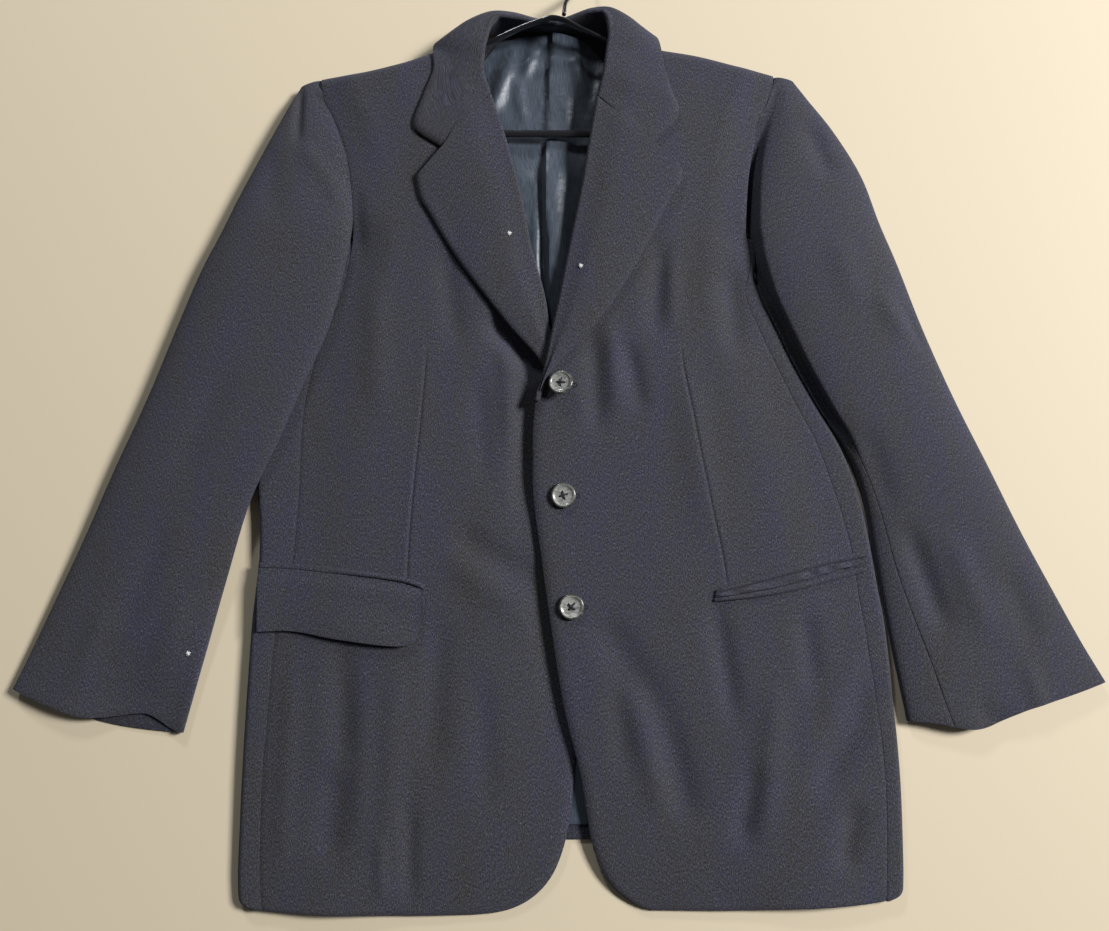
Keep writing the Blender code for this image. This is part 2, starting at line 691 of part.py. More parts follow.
def mouth_point(start, end, u, v):
    """A strip of the right pocket's mouth between two shares of its height."""
    low, high = MOUTH.point(u, "low_x", "low_y"), MOUTH.point(u, "high_x", "high_y")
    place = low.lerp(high, mix(end, start, v))
    return Vector((place.x, place.y, 0.0))


def material(name, colour, roughness, metallic=0.0):
    made = bpy.data.materials.new(name)
    made.use_nodes = True
    shader = made.node_tree.nodes["Principled BSDF"]
    shader.inputs["Base Color"].default_value = (*colour, 1.0)
    shader.inputs["Roughness"].default_value = roughness
    shader.inputs["Metallic"].default_value = metallic
    return made


def height_over(trees, x, y):
    """The highest point of the pieces already made, straight below a place."""
    highest = None
    for tree in trees:
        hit = tree.ray_cast(Vector((x, y, 200.0)) * MM, Vector((0.0, 0.0, -1.0)))[0]
        if hit is not None:
            level = hit.z / MM
            highest = level if highest is None else max(highest, level)
    return highest


def lay_on(bm, trees, clearance, samples=4):
    """Raise a sheet wherever any spot of it comes closer than clearance to what is below."""
    for vert in bm.verts:
        under = height_over(trees, vert.co.x / MM, vert.co.y / MM)
        if under is not None:
            vert.co.z = max(vert.co.z, (under + clearance) * MM)
    for _ in range(5):
        for face in bm.faces:
            corners = [loop.vert for loop in face.loops]
            lack = 0.0
            for i in range(samples + 1):
                for j in range(samples + 1):
                    a, b = i / samples, j / samples
                    low = corners[0].co.lerp(corners[1].co, a)
                    high = corners[3].co.lerp(corners[2].co, a)
                    spot = low.lerp(high, b) / MM
                    under = height_over(trees, spot.x, spot.y)
                    if under is not None:
                        lack = max(lack, under + clearance - spot.z)
            if lack > 0.01:
                for vert in corners:
                    vert.co.z += lack * MM


def add_object(name, mesh, slot, collection, parent):
    piece = bpy.data.objects.new(name, mesh)
    piece.data.materials.append(slot)
    collection.objects.link(piece)
    piece.parent = parent
    return piece


def face_direction(place, u, v):
    """The direction square to a piece's outer face at a point of it."""
    step = 0.004
    across = place(min(u + step, 1.0), v) - place(max(u - step, 0.0), v)
    along = place(u, min(v + step, 1.0)) - place(u, max(v - step, 0.0))
    return across.cross(along).normalized()


class Workroom:
    """Makes the pieces in one collection, and keeps what a later layer lies on."""

    def __init__(self):
        self.coat = bpy.data.collections.new("sport coat")
        self.tools = bpy.data.collections.new("cutters")
        bpy.context.scene.collection.children.link(self.coat)
        bpy.context.scene.collection.children.link(self.tools)
        self.centre = bpy.data.objects.new("coat_centre", None)
        self.coat.objects.link(self.centre)
        self.slots = {
            "wool": material("wool", NAVY, 0.92),
            "satin": material("satin", SATIN, 0.42),
            "horn": material("horn", HORN, 0.3),
            "black_rod": material("black_rod", BLACK, 0.3),
        }
        self.trees = {}
        self.pieces = {}

    def cloth(self, name, slot, across, along, place, wall, inward=-1.0, on=(), gap=LAYER):
        """A grid bent to place(u, v), then drawn inwards into a wall of one thickness."""
        mesh = bpy.data.meshes.new(name)
        bm = bmesh.new()
        bmesh.ops.create_grid(bm, x_segments=across, y_segments=along, size=0.5)
        u_layer = bm.verts.layers.float.new("u")
        v_layer = bm.verts.layers.float.new("v")
        for vert in bm.verts:
            vert[u_layer], vert[v_layer] = vert.co.x + 0.5, vert.co.y + 0.5
            vert.co = place(vert[u_layer], vert[v_layer]) * MM
        if on:
            lay_on(bm, [self.trees[key] for key in on], wall + gap)
        self.trees[name] = BVHTree.FromBMesh(bm)
        wall_side = bmesh.ops.extrude_face_region(bm, geom=bm.faces[:], use_keep_orig=True)
        for vert in wall_side["geom"]:
            if isinstance(vert, bmesh.types.BMVert):
                normal = face_direction(place, vert[u_layer], vert[v_layer])
                vert.co += normal * inward * wall * MM
        bmesh.ops.recalc_face_normals(bm, faces=bm.faces[:])
        bm.to_mesh(mesh)
        bm.free()
        mesh.shade_smooth()
        mesh.set_sharp_from_angle(angle=math.radians(50.0))
        self.pieces[name] = add_object(name, mesh, self.slots[slot], self.coat, self.centre)
        return self.pieces[name]


def rod(room, name, points, radius, sides=8):
    """A round rod along a line of points, closed at both ends."""
    line = [Vector(place) for place in points]
    bm = bmesh.new()
    rings = []
    upright = Vector((0.0, 0.0, 1.0))
    for i, place in enumerate(line):
        tangent = (line[min(i + 1, len(line) - 1)] - line[max(i - 1, 0)]).normalized()
        upright = (upright - tangent * upright.dot(tangent)).normalized()
        beside = tangent.cross(upright)
        ring = []
        for k in range(sides):
            angle = 2.0 * math.pi * k / sides
            reach = upright * math.cos(angle) + beside * math.sin(angle)
            ring.append(bm.verts.new((place + reach * radius) * MM))
        rings.append(ring)
    mesh = close_rings(bm, rings, name)
    return add_object(name, mesh, room.slots["black_rod"], room.coat, room.centre)


def close_rings(bm, rings, name):
    """Join rings of points into a tube with both ends filled."""
    sides = len(rings[0])
    for low, high in zip(rings, rings[1:]):
        for i in range(sides):
            k = (i + 1) % sides
            bm.faces.new((low[i], low[k], high[k], high[i]))
    bm.faces.new(list(reversed(rings[0])))
    bm.faces.new(rings[-1])
    bmesh.ops.recalc_face_normals(bm, faces=bm.faces[:])
    mesh = bpy.data.meshes.new(name)
    bm.to_mesh(mesh)
    bm.free()
    return mesh


def ring_mesh(name, profile, sides, turn=None):
    """A round solid: rings of (radius, height) round one axis, closed at both ends."""
    bm = bmesh.new()
    rings = []
    for radius, height in profile:
        ring = []
        for i in range(sides):
            angle = 2.0 * math.pi * i / sides
            place = Vector((radius * math.cos(angle), radius * math.sin(angle), height))
            if turn is not None and radius > SHANK_RADIUS:
                place = turn @ place
            ring.append(bm.verts.new(place * MM))
        rings.append(ring)
    return close_rings(bm, rings, name)


def cut(room, piece, name, place, radius, depth, turn=None):
    """Cut a round hole upright through a piece, or square to a tilted one."""
    mesh = ring_mesh(name, [(radius, -depth), (radius, depth)], 8)
    cutter = add_object(name, mesh, room.slots["horn"], room.tools, room.centre)
    cutter.location = place * MM
    if turn is not None:
        cutter.rotation_euler = turn.to_euler()
    cutter.display_type = "WIRE"
    cutter.hide_render = True
    hole = piece.modifiers.new(name, "BOOLEAN")
    hole.operation = "DIFFERENCE"
    hole.solver = "EXACT"
    hole.object = cutter


def make_body(room):
    for side, word in ((-1, "left"), (1, "right")):
        room.cloth("back_" + word, "wool", 4, ROWS, lambda u, v: back_point(side, u, v), WOOL, side)
        room.cloth(
            "side_" + word, "wool", 10, UNDERARM_ROW, lambda u, v: side_point(side, u, v), WOOL, -side
        )
    room.cloth("back_lining", "satin", 12, 10, lining_point, LINING_WALL)
    room.cloth("front_under", "wool", 13, ROWS, lambda u, v: front_point(-1, u, v), WOOL, 1.0)
    room.cloth("front_over", "wool", 13, ROWS, lambda u, v: front_point(1, u, v), WOOL)


def make_collar_and_lapels(room):
    room.cloth(
        "lapel_left", "wool", 9, 12, lambda u, v: lapel_point(-1, u, v), WOOL, 1.0, ["front_under"]
    )
    room.cloth(
        "lapel_right", "wool", 9, 12, lambda u, v: lapel_point(1, u, v), WOOL, -1.0, ["front_over"]
    )
    room.cloth(
        "collar", "wool", 11, 32, collar_point, COLLAR_WALL, -1.0, ["front_under", "front_over"]
    )


def make_sleeves(room):
    for side, word in ((-1, "left"), (1, "right")):
        room.cloth(
            "top_sleeve_" + word, "wool", 12, len(SLEEVE_ROWS) - 1,
            lambda u, v: top_sleeve_point(side, u, v), WOOL, side,
        )
        room.cloth(
            "under_sleeve_" + word, "wool", 7, len(SLEEVE_ROWS) - 1,
            lambda u, v: under_sleeve_point(side, u, v), WOOL, side,
        )


def make_pockets(room):
    left, right = ["front_under", "side_left"], ["front_over", "side_right"]
    room.cloth("pocket_flap", "wool", 10, 4, flap_point, WOOL, -1.0, left)
    room.cloth("welt_left", "wool", 9, 1, jet_left_point, TRIM_WALL, -1.0, left)
    for name, start, end in (
        ("welt_lower_right", 0.0, 0.27),
        ("tucked_flap", 0.31, 0.69),
        ("welt_upper_right", 0.73, 1.0),
    ):
        room.cloth(
            name, "wool", 9, 1, lambda u, v: mouth_point(start, end, u, v), TRIM_WALL, 1.0, right
        )


def make_buttons(room):
    below = [room.trees["front_under"], room.trees["lapel_left"]]
    beside = [room.trees["front_over"], room.trees["lapel_right"]]
    for name, x, y, tilt in BUTTONS:
        turn = Matrix.Rotation(math.radians(-tilt), 3, Vector((0.6, 0.8, 0.0)))
        base, foot = 0.0, 0.0
        for i in range(16):
            angle = 2.0 * math.pi * i / 16.0
            for share in (0.0, 0.35, 0.7, 1.0):
                spot = turn @ Vector((math.cos(angle), math.sin(angle), 0.0)) * BUTTON_RADIUS * share
                level = height_over(beside, x + spot.x, y + spot.y)
                if level is not None:
                    base = max(base, level + LAYER - spot.z)
            ring = Vector((math.cos(angle), math.sin(angle))) * SHANK_RADIUS
            level = height_over(below, x + ring.x, y + ring.y)
            if level is not None:
                foot = max(foot, level + SEAM)
        rim, thick = BUTTON_RADIUS, BUTTON_THICK
        profile = [
            (SHANK_RADIUS, foot - base),
            (SHANK_RADIUS, -0.2),
            (SHANK_RADIUS + 0.6, 0.0),
            (rim - 1.6, 0.0),
            (rim, 1.2),
            (rim, 2.4),
            (rim - 1.0, thick),
            (rim - 2.4, thick - 0.2),
            (rim - 3.6, thick - 1.0),
        ]
        mesh = ring_mesh(name, profile, 20, turn)
        button = add_object(name, mesh, room.slots["horn"], room.coat, room.centre)
        button.location = Vector((x, y, base)) * MM
        for k in range(4):
            angle = math.pi * (0.25 + k / 2)
            spot = Vector((math.cos(angle), math.sin(angle), 0.0)) * EYE_OUT
            place = Vector((x, y, base)) + turn @ (spot + Vector((0.0, 0.0, 1.2)))
            cut(room, button, f"{name}_eye_{k}", place, EYE_RADIUS, 3.0, turn)
        middle = Vector((x, y, base - 5.0))
        cut(room, room.pieces["front_over"], name + "_hole", middle, SHANK_HOLE, 5.0)


def make_hanger(room):
    rod(room, "hanger_arms", ARMS, HANGER_ROD)
    rod(room, "hanger_bar", BAR, BAR_ROD)
    rod(room, "hanger_hook", HOOK, HOOK_ROD)


def centre_coat(room):
    """Move the coat so that the middle of its underside is at the origin."""
    bpy.context.view_layer.update()
    lowest = Vector((9.0, 9.0, 9.0))
    highest = -lowest
    for piece in room.coat.objects:
        if piece.type == "EMPTY":
            continue
        for corner in piece.bound_box:
            place = piece.matrix_world @ Vector(corner)
            lowest = Vector(map(min, lowest, place))
            highest = Vector(map(max, highest, place))
    middle = (lowest + highest) / 2.0
    room.centre.location = (-middle.x, -middle.y, -lowest.z)


def main():
    for item in list(bpy.data.objects):
        bpy.data.objects.remove(item, do_unlink=True)
    room = Workroom()
    make_body(room)
    make_collar_and_lapels(room)
    make_sleeves(room)
    make_pockets(room)
    make_buttons(room)
    make_hanger(room)
    centre_coat(room)


main()
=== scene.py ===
# A navy wool flannel sport coat lying face up on its hanger: the looks.
# The tables are in millimetres from the middle of the front hem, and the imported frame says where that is.
import math
from bisect import bisect_right
from functools import partial

import bmesh
import bpy
from mathutils import Matrix, Vector
from mathutils.bvhtree import BVHTree


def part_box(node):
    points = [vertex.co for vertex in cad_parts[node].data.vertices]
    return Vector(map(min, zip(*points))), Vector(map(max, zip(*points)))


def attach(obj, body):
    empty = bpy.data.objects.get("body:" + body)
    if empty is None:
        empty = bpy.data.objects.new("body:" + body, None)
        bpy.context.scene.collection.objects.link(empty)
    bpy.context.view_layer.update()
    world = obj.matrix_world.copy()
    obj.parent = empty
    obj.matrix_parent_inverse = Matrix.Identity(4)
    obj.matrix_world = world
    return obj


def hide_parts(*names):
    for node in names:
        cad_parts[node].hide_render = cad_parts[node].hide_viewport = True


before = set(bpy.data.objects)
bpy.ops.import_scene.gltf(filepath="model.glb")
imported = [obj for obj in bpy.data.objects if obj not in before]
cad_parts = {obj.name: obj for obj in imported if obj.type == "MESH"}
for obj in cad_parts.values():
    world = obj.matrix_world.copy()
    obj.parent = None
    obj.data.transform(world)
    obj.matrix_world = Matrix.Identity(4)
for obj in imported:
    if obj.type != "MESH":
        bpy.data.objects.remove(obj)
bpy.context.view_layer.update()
mm = 0.001
middleButton = [(low + high) / 2.0 for low, high in zip(*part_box("button_middle"))]
middleAt = (8.0, 361.0)  # where the tables have it
shift = Vector((middleButton[0] - middleAt[0] * mm, middleButton[1] - middleAt[1] * mm, 0.0))
up = Vector((0.0, 0.0, 1.0))
print("frame loaded, coat centred at", [round(v, 4) for v in shift])

walls = {"wool": 2.2, "collar": 2.0, "trim": 1.6, "lining": 1.2}
gaps = {"seam": 0.15, "armhole": 0.3, "sleeve": 0.5, "laid": 0.3}  # between pieces that are sewn or laid together
body = {"top": 770.0, "underarm": 597.0, "shoulderNose": 13.0}
corner = {"width": 75.0, "height": 76.0, "shape": 2.2}  # the rounded front corners
rowHeights = [         # heights of the rows of points, of 770 at the shoulder
    0, 8, 18, 30, 44, 60, 76, 103, 140, 185, 230, 270, 310, 350, 390, 425, 447, 459, 471,
    489, 515, 549, 573, 597, 610, 640, 670, 696, 712, 724, 736, 748, 757, 763, 767, 770,
]
rowCount = len(rowHeights) - 1
underarmRow = rowHeights.index(597)
sleeveRows = [         # rows of a sleeve, by the share of its length
    0.0, 0.02, 0.05, 0.09, 0.13, 0.165, 0.2, 0.225, 0.25, 0.275, 0.3, 0.33, 0.37, 0.43, 0.5,
    0.57, 0.64, 0.71, 0.78, 0.86, 0.93, 1.0,
]


class SmoothTable:  # rows with named columns, read smoothly by their first column

    def __init__(self, columns, rows):
        self.keys = [row[0] for row in rows]
        self.columns = dict(zip(columns.split(), zip(*rows)))
        self.slopes = {name: self.tangents(values) for name, values in self.columns.items()}

    def tangents(self, values):  # a slope at each row that never lets the curve overshoot its rows
        places = list(zip(self.keys, values))
        steps = [(after[1] - before[1]) / (after[0] - before[0]) for before, after in zip(places, places[1:])]
        inner = [2.0 * a * b / (a + b) if a * b > 0.0 else 0.0 for a, b in zip(steps, steps[1:])]
        return [steps[0], *inner, steps[-1]]

    def at(self, key, column):
        keys, values, slopes = self.keys, self.columns[column], self.slopes[column]
        key = min(max(key, keys[0]), keys[-1])
        i = min(bisect_right(keys, key), len(keys) - 1) - 1
        width = keys[i + 1] - keys[i]
        t = (key - keys[i]) / width
        return (
            (1 + 2 * t) * (1 - t) ** 2 * values[i] + t * (1 - t) ** 2 * width * slopes[i]
            + t * t * (3 - 2 * t) * values[i + 1] + t * t * (t - 1) * width * slopes[i + 1]
        )

    def point(self, key, name):  # from the columns called name and X, Y and, where there is one, Z
        return Vector([self.at(key, name + axis) for axis in "XYZ" if name + axis in self.columns])


# A side is 1 at the viewer's right and -1 at the left. The right front lies over the left one.
hands = {1: "Right", -1: "Left"}
fronts = {1: "over", -1: "under"}
armholeTop = {1: 16.0, -1: 18.6}  # height at which a front meets its sleeve

# The free front edges, the side edges and the seams in front of them.
bodyPlan = SmoothTable("y over under sideRight frontRight sideLeft frontLeft", [
    (0, 32, 9, 299, 284, -271, -250), (40, 32, 9, 302, 287, -274, -254),
    (103, 25, 16, 303, 289, -274, -255), (175, 8, 21, 300.5, 285, -273, -252),
    (216, 1, 23, 298, 280, -272, -250), (249, -4, 25, 295.4, 276, -271, -247),
    (276, -8, 26, 291.4, 272, -269, -240), (306, -12, 27, 287.4, 269, -267, -235),
    (340, -17, 27, 282.4, 262, -268.5, -233), (375, -20, 27, 274.8, 252, -272, -232),
    (411, -20, 27, 260.8, 240, -270, -232), (446, -18, 27, 241.4, 223, -262, -230),
    (488, -9, 27, 220, 204, -246, -222), (516, -3, 27, 208, 192, -232, -213),
    (549, -3, 27, 194, 180, -216, -201), (597, -3, 27, 181, 174.6, -196, -189.6),
])

# The neck seam of each front, above the lapels.
neckSeam = SmoothTable("y Right Left", [
    (740, 47, -68), (748, 55, -77), (764, 66.6, -90.4), (782, 77.4, -98.4), (800, 84.4, -100.6),
])

# Where front and back meet, and how high the seam stands there.
shoulderLine = SmoothTable("x y seam", [
    (-240, 765, 7), (-224, 768, 8), (-196, 771, 10), (-148, 781, 13), (-107, 794, 16), (-90, 798, 18),
    (70, 800, 18), (99, 794, 16), (134, 789, 12.5), (181, 778, 10), (213, 771, 8.5), (230, 767, 7),
])

hemLine = SmoothTable("x y", [
    (-275, 7), (-249, 4), (-180, 0), (-108, -1), (0, 1), (97, 3), (137, 3), (220, 6), (265, 9), (300, 14),
])

# Height of the front's outer face from its free edge to its side.
frontHeights = {1: SmoothTable("y edge inner outer side", [
    (0, 4.4, 6, 11.4, 8.8), (45, 9, 9.5, 12, 9.6), (120, 14, 13, 13, 10.6), (220, 17, 16, 14.5, 11.4),
    (340, 18, 17, 16, 12), (440, 19, 18, 16.5, 12), (490, 19.6, 19, 17, 12), (560, 21.6, 20.5, 18, 12),
    (640, 24.6, 23, 20, 13), (720, 27, 25, 23, 17), (800, 26.5, 26.5, 25, 20),
]), -1: SmoothTable("y edge inner outer side", [
    (0, 4.2, 6, 11.4, 8.8), (45, 7.4, 9, 12, 9.6), (120, 8, 12, 12.5, 10.6), (220, 8, 13.5, 14, 11.4),
    (340, 8, 14.5, 15, 12), (440, 8, 15, 16, 12), (490, 10, 16, 17, 12), (560, 18, 18, 18, 12),
    (640, 23.6, 21.5, 20, 13), (720, 27, 25, 23, 17), (800, 26.5, 26.5, 25, 20),
])}

# Creases: troughs below nought, ridges above
folds = {  # from x, y, to x, y, half width, height
    "under": [
        (-103, 589, -92, 506, 11, -1.6), (-46, 512, -38, 403, 8, 1.6), (-70, 470, -64, 380, 9, -1.0),
        (-60, 526, -16, 476, 9, -5.0), (-89, 326, -22, 286, 11, -2.2), (-94, 303, -31, 259, 12, 1.4),
        (-188, 226, -187, 130, 12, -1.9), (-190, 120, -197, 48, 13, -2.0), (-166, 196, -168, 60, 11, 1.2),
        (-102, 250, -108, 130, 12, -1.4), (-140, 210, -146, 60, 13, 1.4), (-126, 92, -125, 12, 8, -1.5),
        (-150, 66, -148, 14, 6, 1.0), (-232, 205, -236, 40, 9, 1.0), (-188, 652, -186, 588, 8, -1.6),
        (-168, 560, -160, 440, 12, 1.0), (-66, 200, -58, 90, 12, -1.2),
    ],
    "over": [
        (35, 512, 39, 422, 8, -2.0), (52, 520, 57, 440, 7, 1.2), (68, 501, 79, 440, 8, -1.6),
        (99, 600, 93, 516, 10, -1.8), (110, 586, 108, 520, 8, 1.0), (165, 574, 167, 497, 11, -1.8),
        (40, 250, 97, 164, 14, -2.0), (97, 164, 117, 80, 13, -2.0), (70, 190, 92, 90, 10, 1.4),
        (143, 262, 158, 164, 10, -1.8), (223, 255, 229, 190, 10, -1.6), (284, 190, 230, 105, 13, -2.4),
        (270, 214, 236, 168, 8, 1.2), (196, 190, 178, 70, 12, 1.6), (262, 92, 250, 40, 10, -2.0),
        (178, 122, 160, 60, 11, -1.8), (120, 470, 138, 330, 16, 1.2), (52, 200, 62, 120, 9, -1.0),
    ],
    "sleeveLeft": [
        (-245, 756, -244, 698, 4.5, -2.6), (-238, 692, -217, 668, 8, 1.2), (-217, 670, -200, 636, 8, 1.2),
        (-270, 690, -262, 620, 11, -1.0), (-300, 470, -340, 380, 13, -1.2),
        (-352, 330, -384, 240, 11, -1.3), (-400, 260, -420, 196, 9, 1.1), (-330, 270, -352, 200, 10, 1.0),
        (-372, 186, -345, 172, 6, -1.2),
    ],
    "sleeveRight": [
        (242, 716, 260, 664, 10, -1.8), (262, 600, 276, 540, 12, 1.0), (300, 548, 322, 508, 10, 1.4),
        (326, 532, 340, 500, 6, -1.0), (284, 420, 302, 350, 10, -1.0), (318, 330, 346, 244, 10, -2.4),
        (356, 320, 384, 240, 11, 1.4), (372, 186, 404, 170, 8, -1.8), (404, 292, 424, 230, 12, -1.2),
        (418, 214, 430, 178, 7, 1.0),
    ],
}
creaseScale = {"over": 2.0, "under": 1.7, "sleeveLeft": 1.5, "sleeveRight": 1.8}
dartLines = SmoothTable("y Left Right", [  # the darts from the hem up
    (0, -132, 172), (290, -132, 153), (356, -129, 141), (429, -123, 128), (505, -118, 117), (800, -112, 120),
])

# The lapels, from their lower tip up to the notch.
lapels = {1: SmoothTable("v rollX rollY rollZ tipX tipY tipZ", [
    (0.0, -18.6, 446, 21.8, -17, 446.5, 21.8), (0.06, -13.6, 466, 22.6, -8, 467.5, 22.5),
    (0.12, -8, 488, 23.2, 7, 487, 23), (0.22, -3, 513, 24, 33, 513, 23.6),
    (0.38, 3, 541, 25, 60, 550, 24.4), (0.55, 14, 597, 27.4, 86, 595, 25.8),
    (0.75, 25, 652, 29.4, 109, 641, 27.2), (0.87, 32, 695, 30.4, 118, 655, 27.6),
    (1.0, 40, 740.9, 31, 120, 667.5, 28),
]), -1: SmoothTable("v rollX rollY rollZ tipX tipY tipZ", [
    (0.0, 16, 464, 13, 6, 461, 13), (0.06, 10, 479, 13.4, -6, 475, 13.4),
    (0.12, 4, 495, 14.4, -18, 492, 14.4), (0.22, -3, 515, 17.4, -40, 516, 17.6),
    (0.38, -9, 549, 20.8, -68, 551, 20.8), (0.55, -21, 593, 24, -93, 585, 20.8),
    (0.75, -33, 652, 28, -117, 625, 21.6), (0.87, -45, 697, 30, -127, 643, 22.4),
    (1.0, -60, 743, 31, -131, 660.4, 24),
])}
lapelForm = {
    "roll": 3.0, "clear": 0.6,  # radius of the roll and its distance from the front's edge
    "turn": 0.26, "arch": 1.6,  # share of the section that is the roll, height of the leaf's arch
    "break": (450.0, 470.0), "gorge": (732.0, 744.0),  # where the front's edge changes from one line to the next
    "tuck": {1: (1.2, 6.0, -1.2), -1: (-1.9, 6.0, -1.2)},
}

# Sections across the collar: its neck seam, the top of its roll and the edge of its leaf.
# lean is the roll's turn from lying flat to standing up, drop how late the leaf falls away.
collarSections = SmoothTable("s seamX seamY seamZ rollX rollY rollZ edgeX edgeY edgeZ lean drop", [
    (0, 43.2, 741.2, 24.6, 40.4, 741.2, 28.2, 92.5, 693.2, 28.4, 0, 1),
    (1, 50.8, 748.6, 24.4, 42, 748, 29.4, 118, 725, 28.4, 0, 1),
    (2, 62.6, 764.4, 24.4, 46, 765, 32, 111, 747, 29.8, 0, 1),
    (3, 74.6, 782, 24.4, 49, 787, 33, 104, 773, 31, 5, 1),
    (4, 81.6, 800, 23, 51, 802, 34, 100, 802, 24, 15, 3),
    (5, 67, 808, 15, 50.5, 815, 34, 86, 821, 9, 45, 4),
    (6, 46, 814, 5, 46, 825.5, 33.5, 59, 837.5, 4, 70, 3),
    (7, 24, 819, 3, 32, 827.5, 30.5, 39, 842, 2.2, 85, 2),
    (8, -4, 823, 2.8, -4, 820, 24, -4, 836, 2.2, 90, 1.2),
    (9, -34, 823.6, 3, -36, 823.5, 28.5, -42, 839.5, 2.2, 85, 2),
    (10, -55, 819.5, 5, -53, 822, 32.5, -67, 834, 4, 70, 3),
    (11, -78, 811, 15, -60, 812.5, 33.4, -99, 818, 9, 45, 4),
    (12, -97, 799, 23, -63, 800, 33, -117, 795, 22, 15, 3),
    (13, -95.6, 783, 24.4, -66, 785, 32, -115, 772, 26, 5, 1),
    (14, -87.6, 765, 24.4, -67, 764, 31, -124, 745, 25, 0, 1),
    (15, -74.6, 750, 24.4, -62, 750, 29.4, -134, 714, 25.5, 0, 1),
    (16, -66, 743.4, 24.6, -60.4, 743.8, 28.2, -106, 690, 26.5, 0, 1),
])

# Sleeves, by the share of the length: tall is the height of the puffed section, lift how far
# its inner edge rides up on the body, seam the angle of the under sleeve's front seam.
sleeves = {1: SmoothTable("t innerX innerY outerX outerY tall lift seam", [
    (0.0, 212.6, 770, 233, 766, 14, 0, 0), (0.05, 208.6, 752, 245, 748, 18, 0, 0),
    (0.12, 197.2, 720, 269, 714, 22, 0, 0), (0.2, 184.6, 660, 295, 665, 26, 0, 0),
    (0.26, 181.6, 614, 309, 620, 28, 0, 6), (0.31, 190, 576, 322, 584, 29, 0, 24),
    (0.4, 205.5, 528, 343, 520, 28, 0, 30), (0.5, 240.6, 453, 369, 452, 26, 0, 30),
    (0.6, 263.4, 412, 397, 388, 24, 0, 30), (0.7, 281, 360, 424, 326, 21, 0, 34),
    (0.8, 290, 300, 448, 276, 18, 0, 40), (0.9, 300, 234, 470, 231, 15.5, 0, 50),
    (1.0, 312, 162, 489, 196, 13.5, 0, 60),
]), -1: SmoothTable("t innerX innerY outerX outerY tall lift seam", [
    (0.0, -226, 767, -247, 761, 13, 0, 0), (0.05, -222, 745, -258, 738, 20, 0, 0),
    (0.12, -210.6, 722, -280, 692, 24, 0, 0), (0.2, -195.6, 676, -302, 645, 26, 0, 0),
    (0.26, -190.6, 622, -318, 607, 29, 9, -8), (0.29, -191.6, 601, -327, 588, 29, 13.4, -18),
    (0.32, -195, 580, -335, 569, 29, 13.6, -24), (0.4, -208, 520, -352, 522, 28, 13.4, -30),
    (0.5, -229, 468, -377, 450, 27, 13.6, -34), (0.6, -251, 412, -403, 384, 25, 13.6, -36),
    (0.7, -275, 357, -425, 325, 21, 11, -38), (0.8, -296, 284, -445, 275, 17.5, 3, -40),
    (0.9, -312, 220, -464, 228, 15, 0, -42), (1.0, -328, 152, -480, 190, 14.5, 0, -42),
])}

liningTop = SmoothTable("x y", [
    (-175, 742), (-120, 762), (-80, 780), (-52, 812), (-6, 820), (28, 812), (56, 784), (110, 762),
    (165, 742),
])
liningFolds = [  # x, y, half width, half length, slant, height
    (-50, 772, 9, 26, 0.25, 5.0), (-34, 750, 5, 22, -0.2, 2.6), (-62, 742, 7, 16, 0.5, 2.4),
    (-24, 792, 6, 20, 0.3, 3.0), (26, 772, 8, 34, -0.12, 4.6), (42, 752, 5, 26, 0.2, 2.6),
    (12, 742, 6, 20, 0.0, 1.8), (-36, 640, 8, 50, -0.06, 2.6), (-16, 612, 5, 46, 0.08, 1.8),
    (24, 640, 9, 60, 0.1, 2.2), (10, 560, 7, 46, 0.0, 1.6),
]

# The flap's upper and lower edge, by the share of its length.
flapOutline = SmoothTable("u topX topY lowX lowY", [
    (0.0, -116, 276.6, -116.2, 262), (0.03, -119, 278.2, -119.4, 242), (0.08, -127, 281, -124, 231),
    (0.16, -139, 284, -136, 227.8), (0.5, -194, 291, -190, 233.5), (0.85, -248, 296.2, -240, 241),
    (1.0, -265.6, 296.5, -264, 240.2),
])

# The mouth of the right pocket, with both its jets.
mouthOutline = SmoothTable("u lowX lowY highX highY", [
    (0.0, 142, 266.4, 144, 277), (0.25, 181, 270.6, 178, 287.4), (0.5, 216, 276.7, 213, 297.5),
    (0.75, 247, 284.5, 247, 306), (1.0, 279, 293, 280, 311),
])

buttonPlaces = [  # name, x, y, tilt in degrees, turn of the thread cross
    ("buttonTop", 6.0, 463.0, 14.0, 38.0),
    ("buttonMiddle", 8.0, 361.0, 0.0, 62.0),
    ("buttonBottom", 15.0, 262.0, 0.0, 4.0),
]

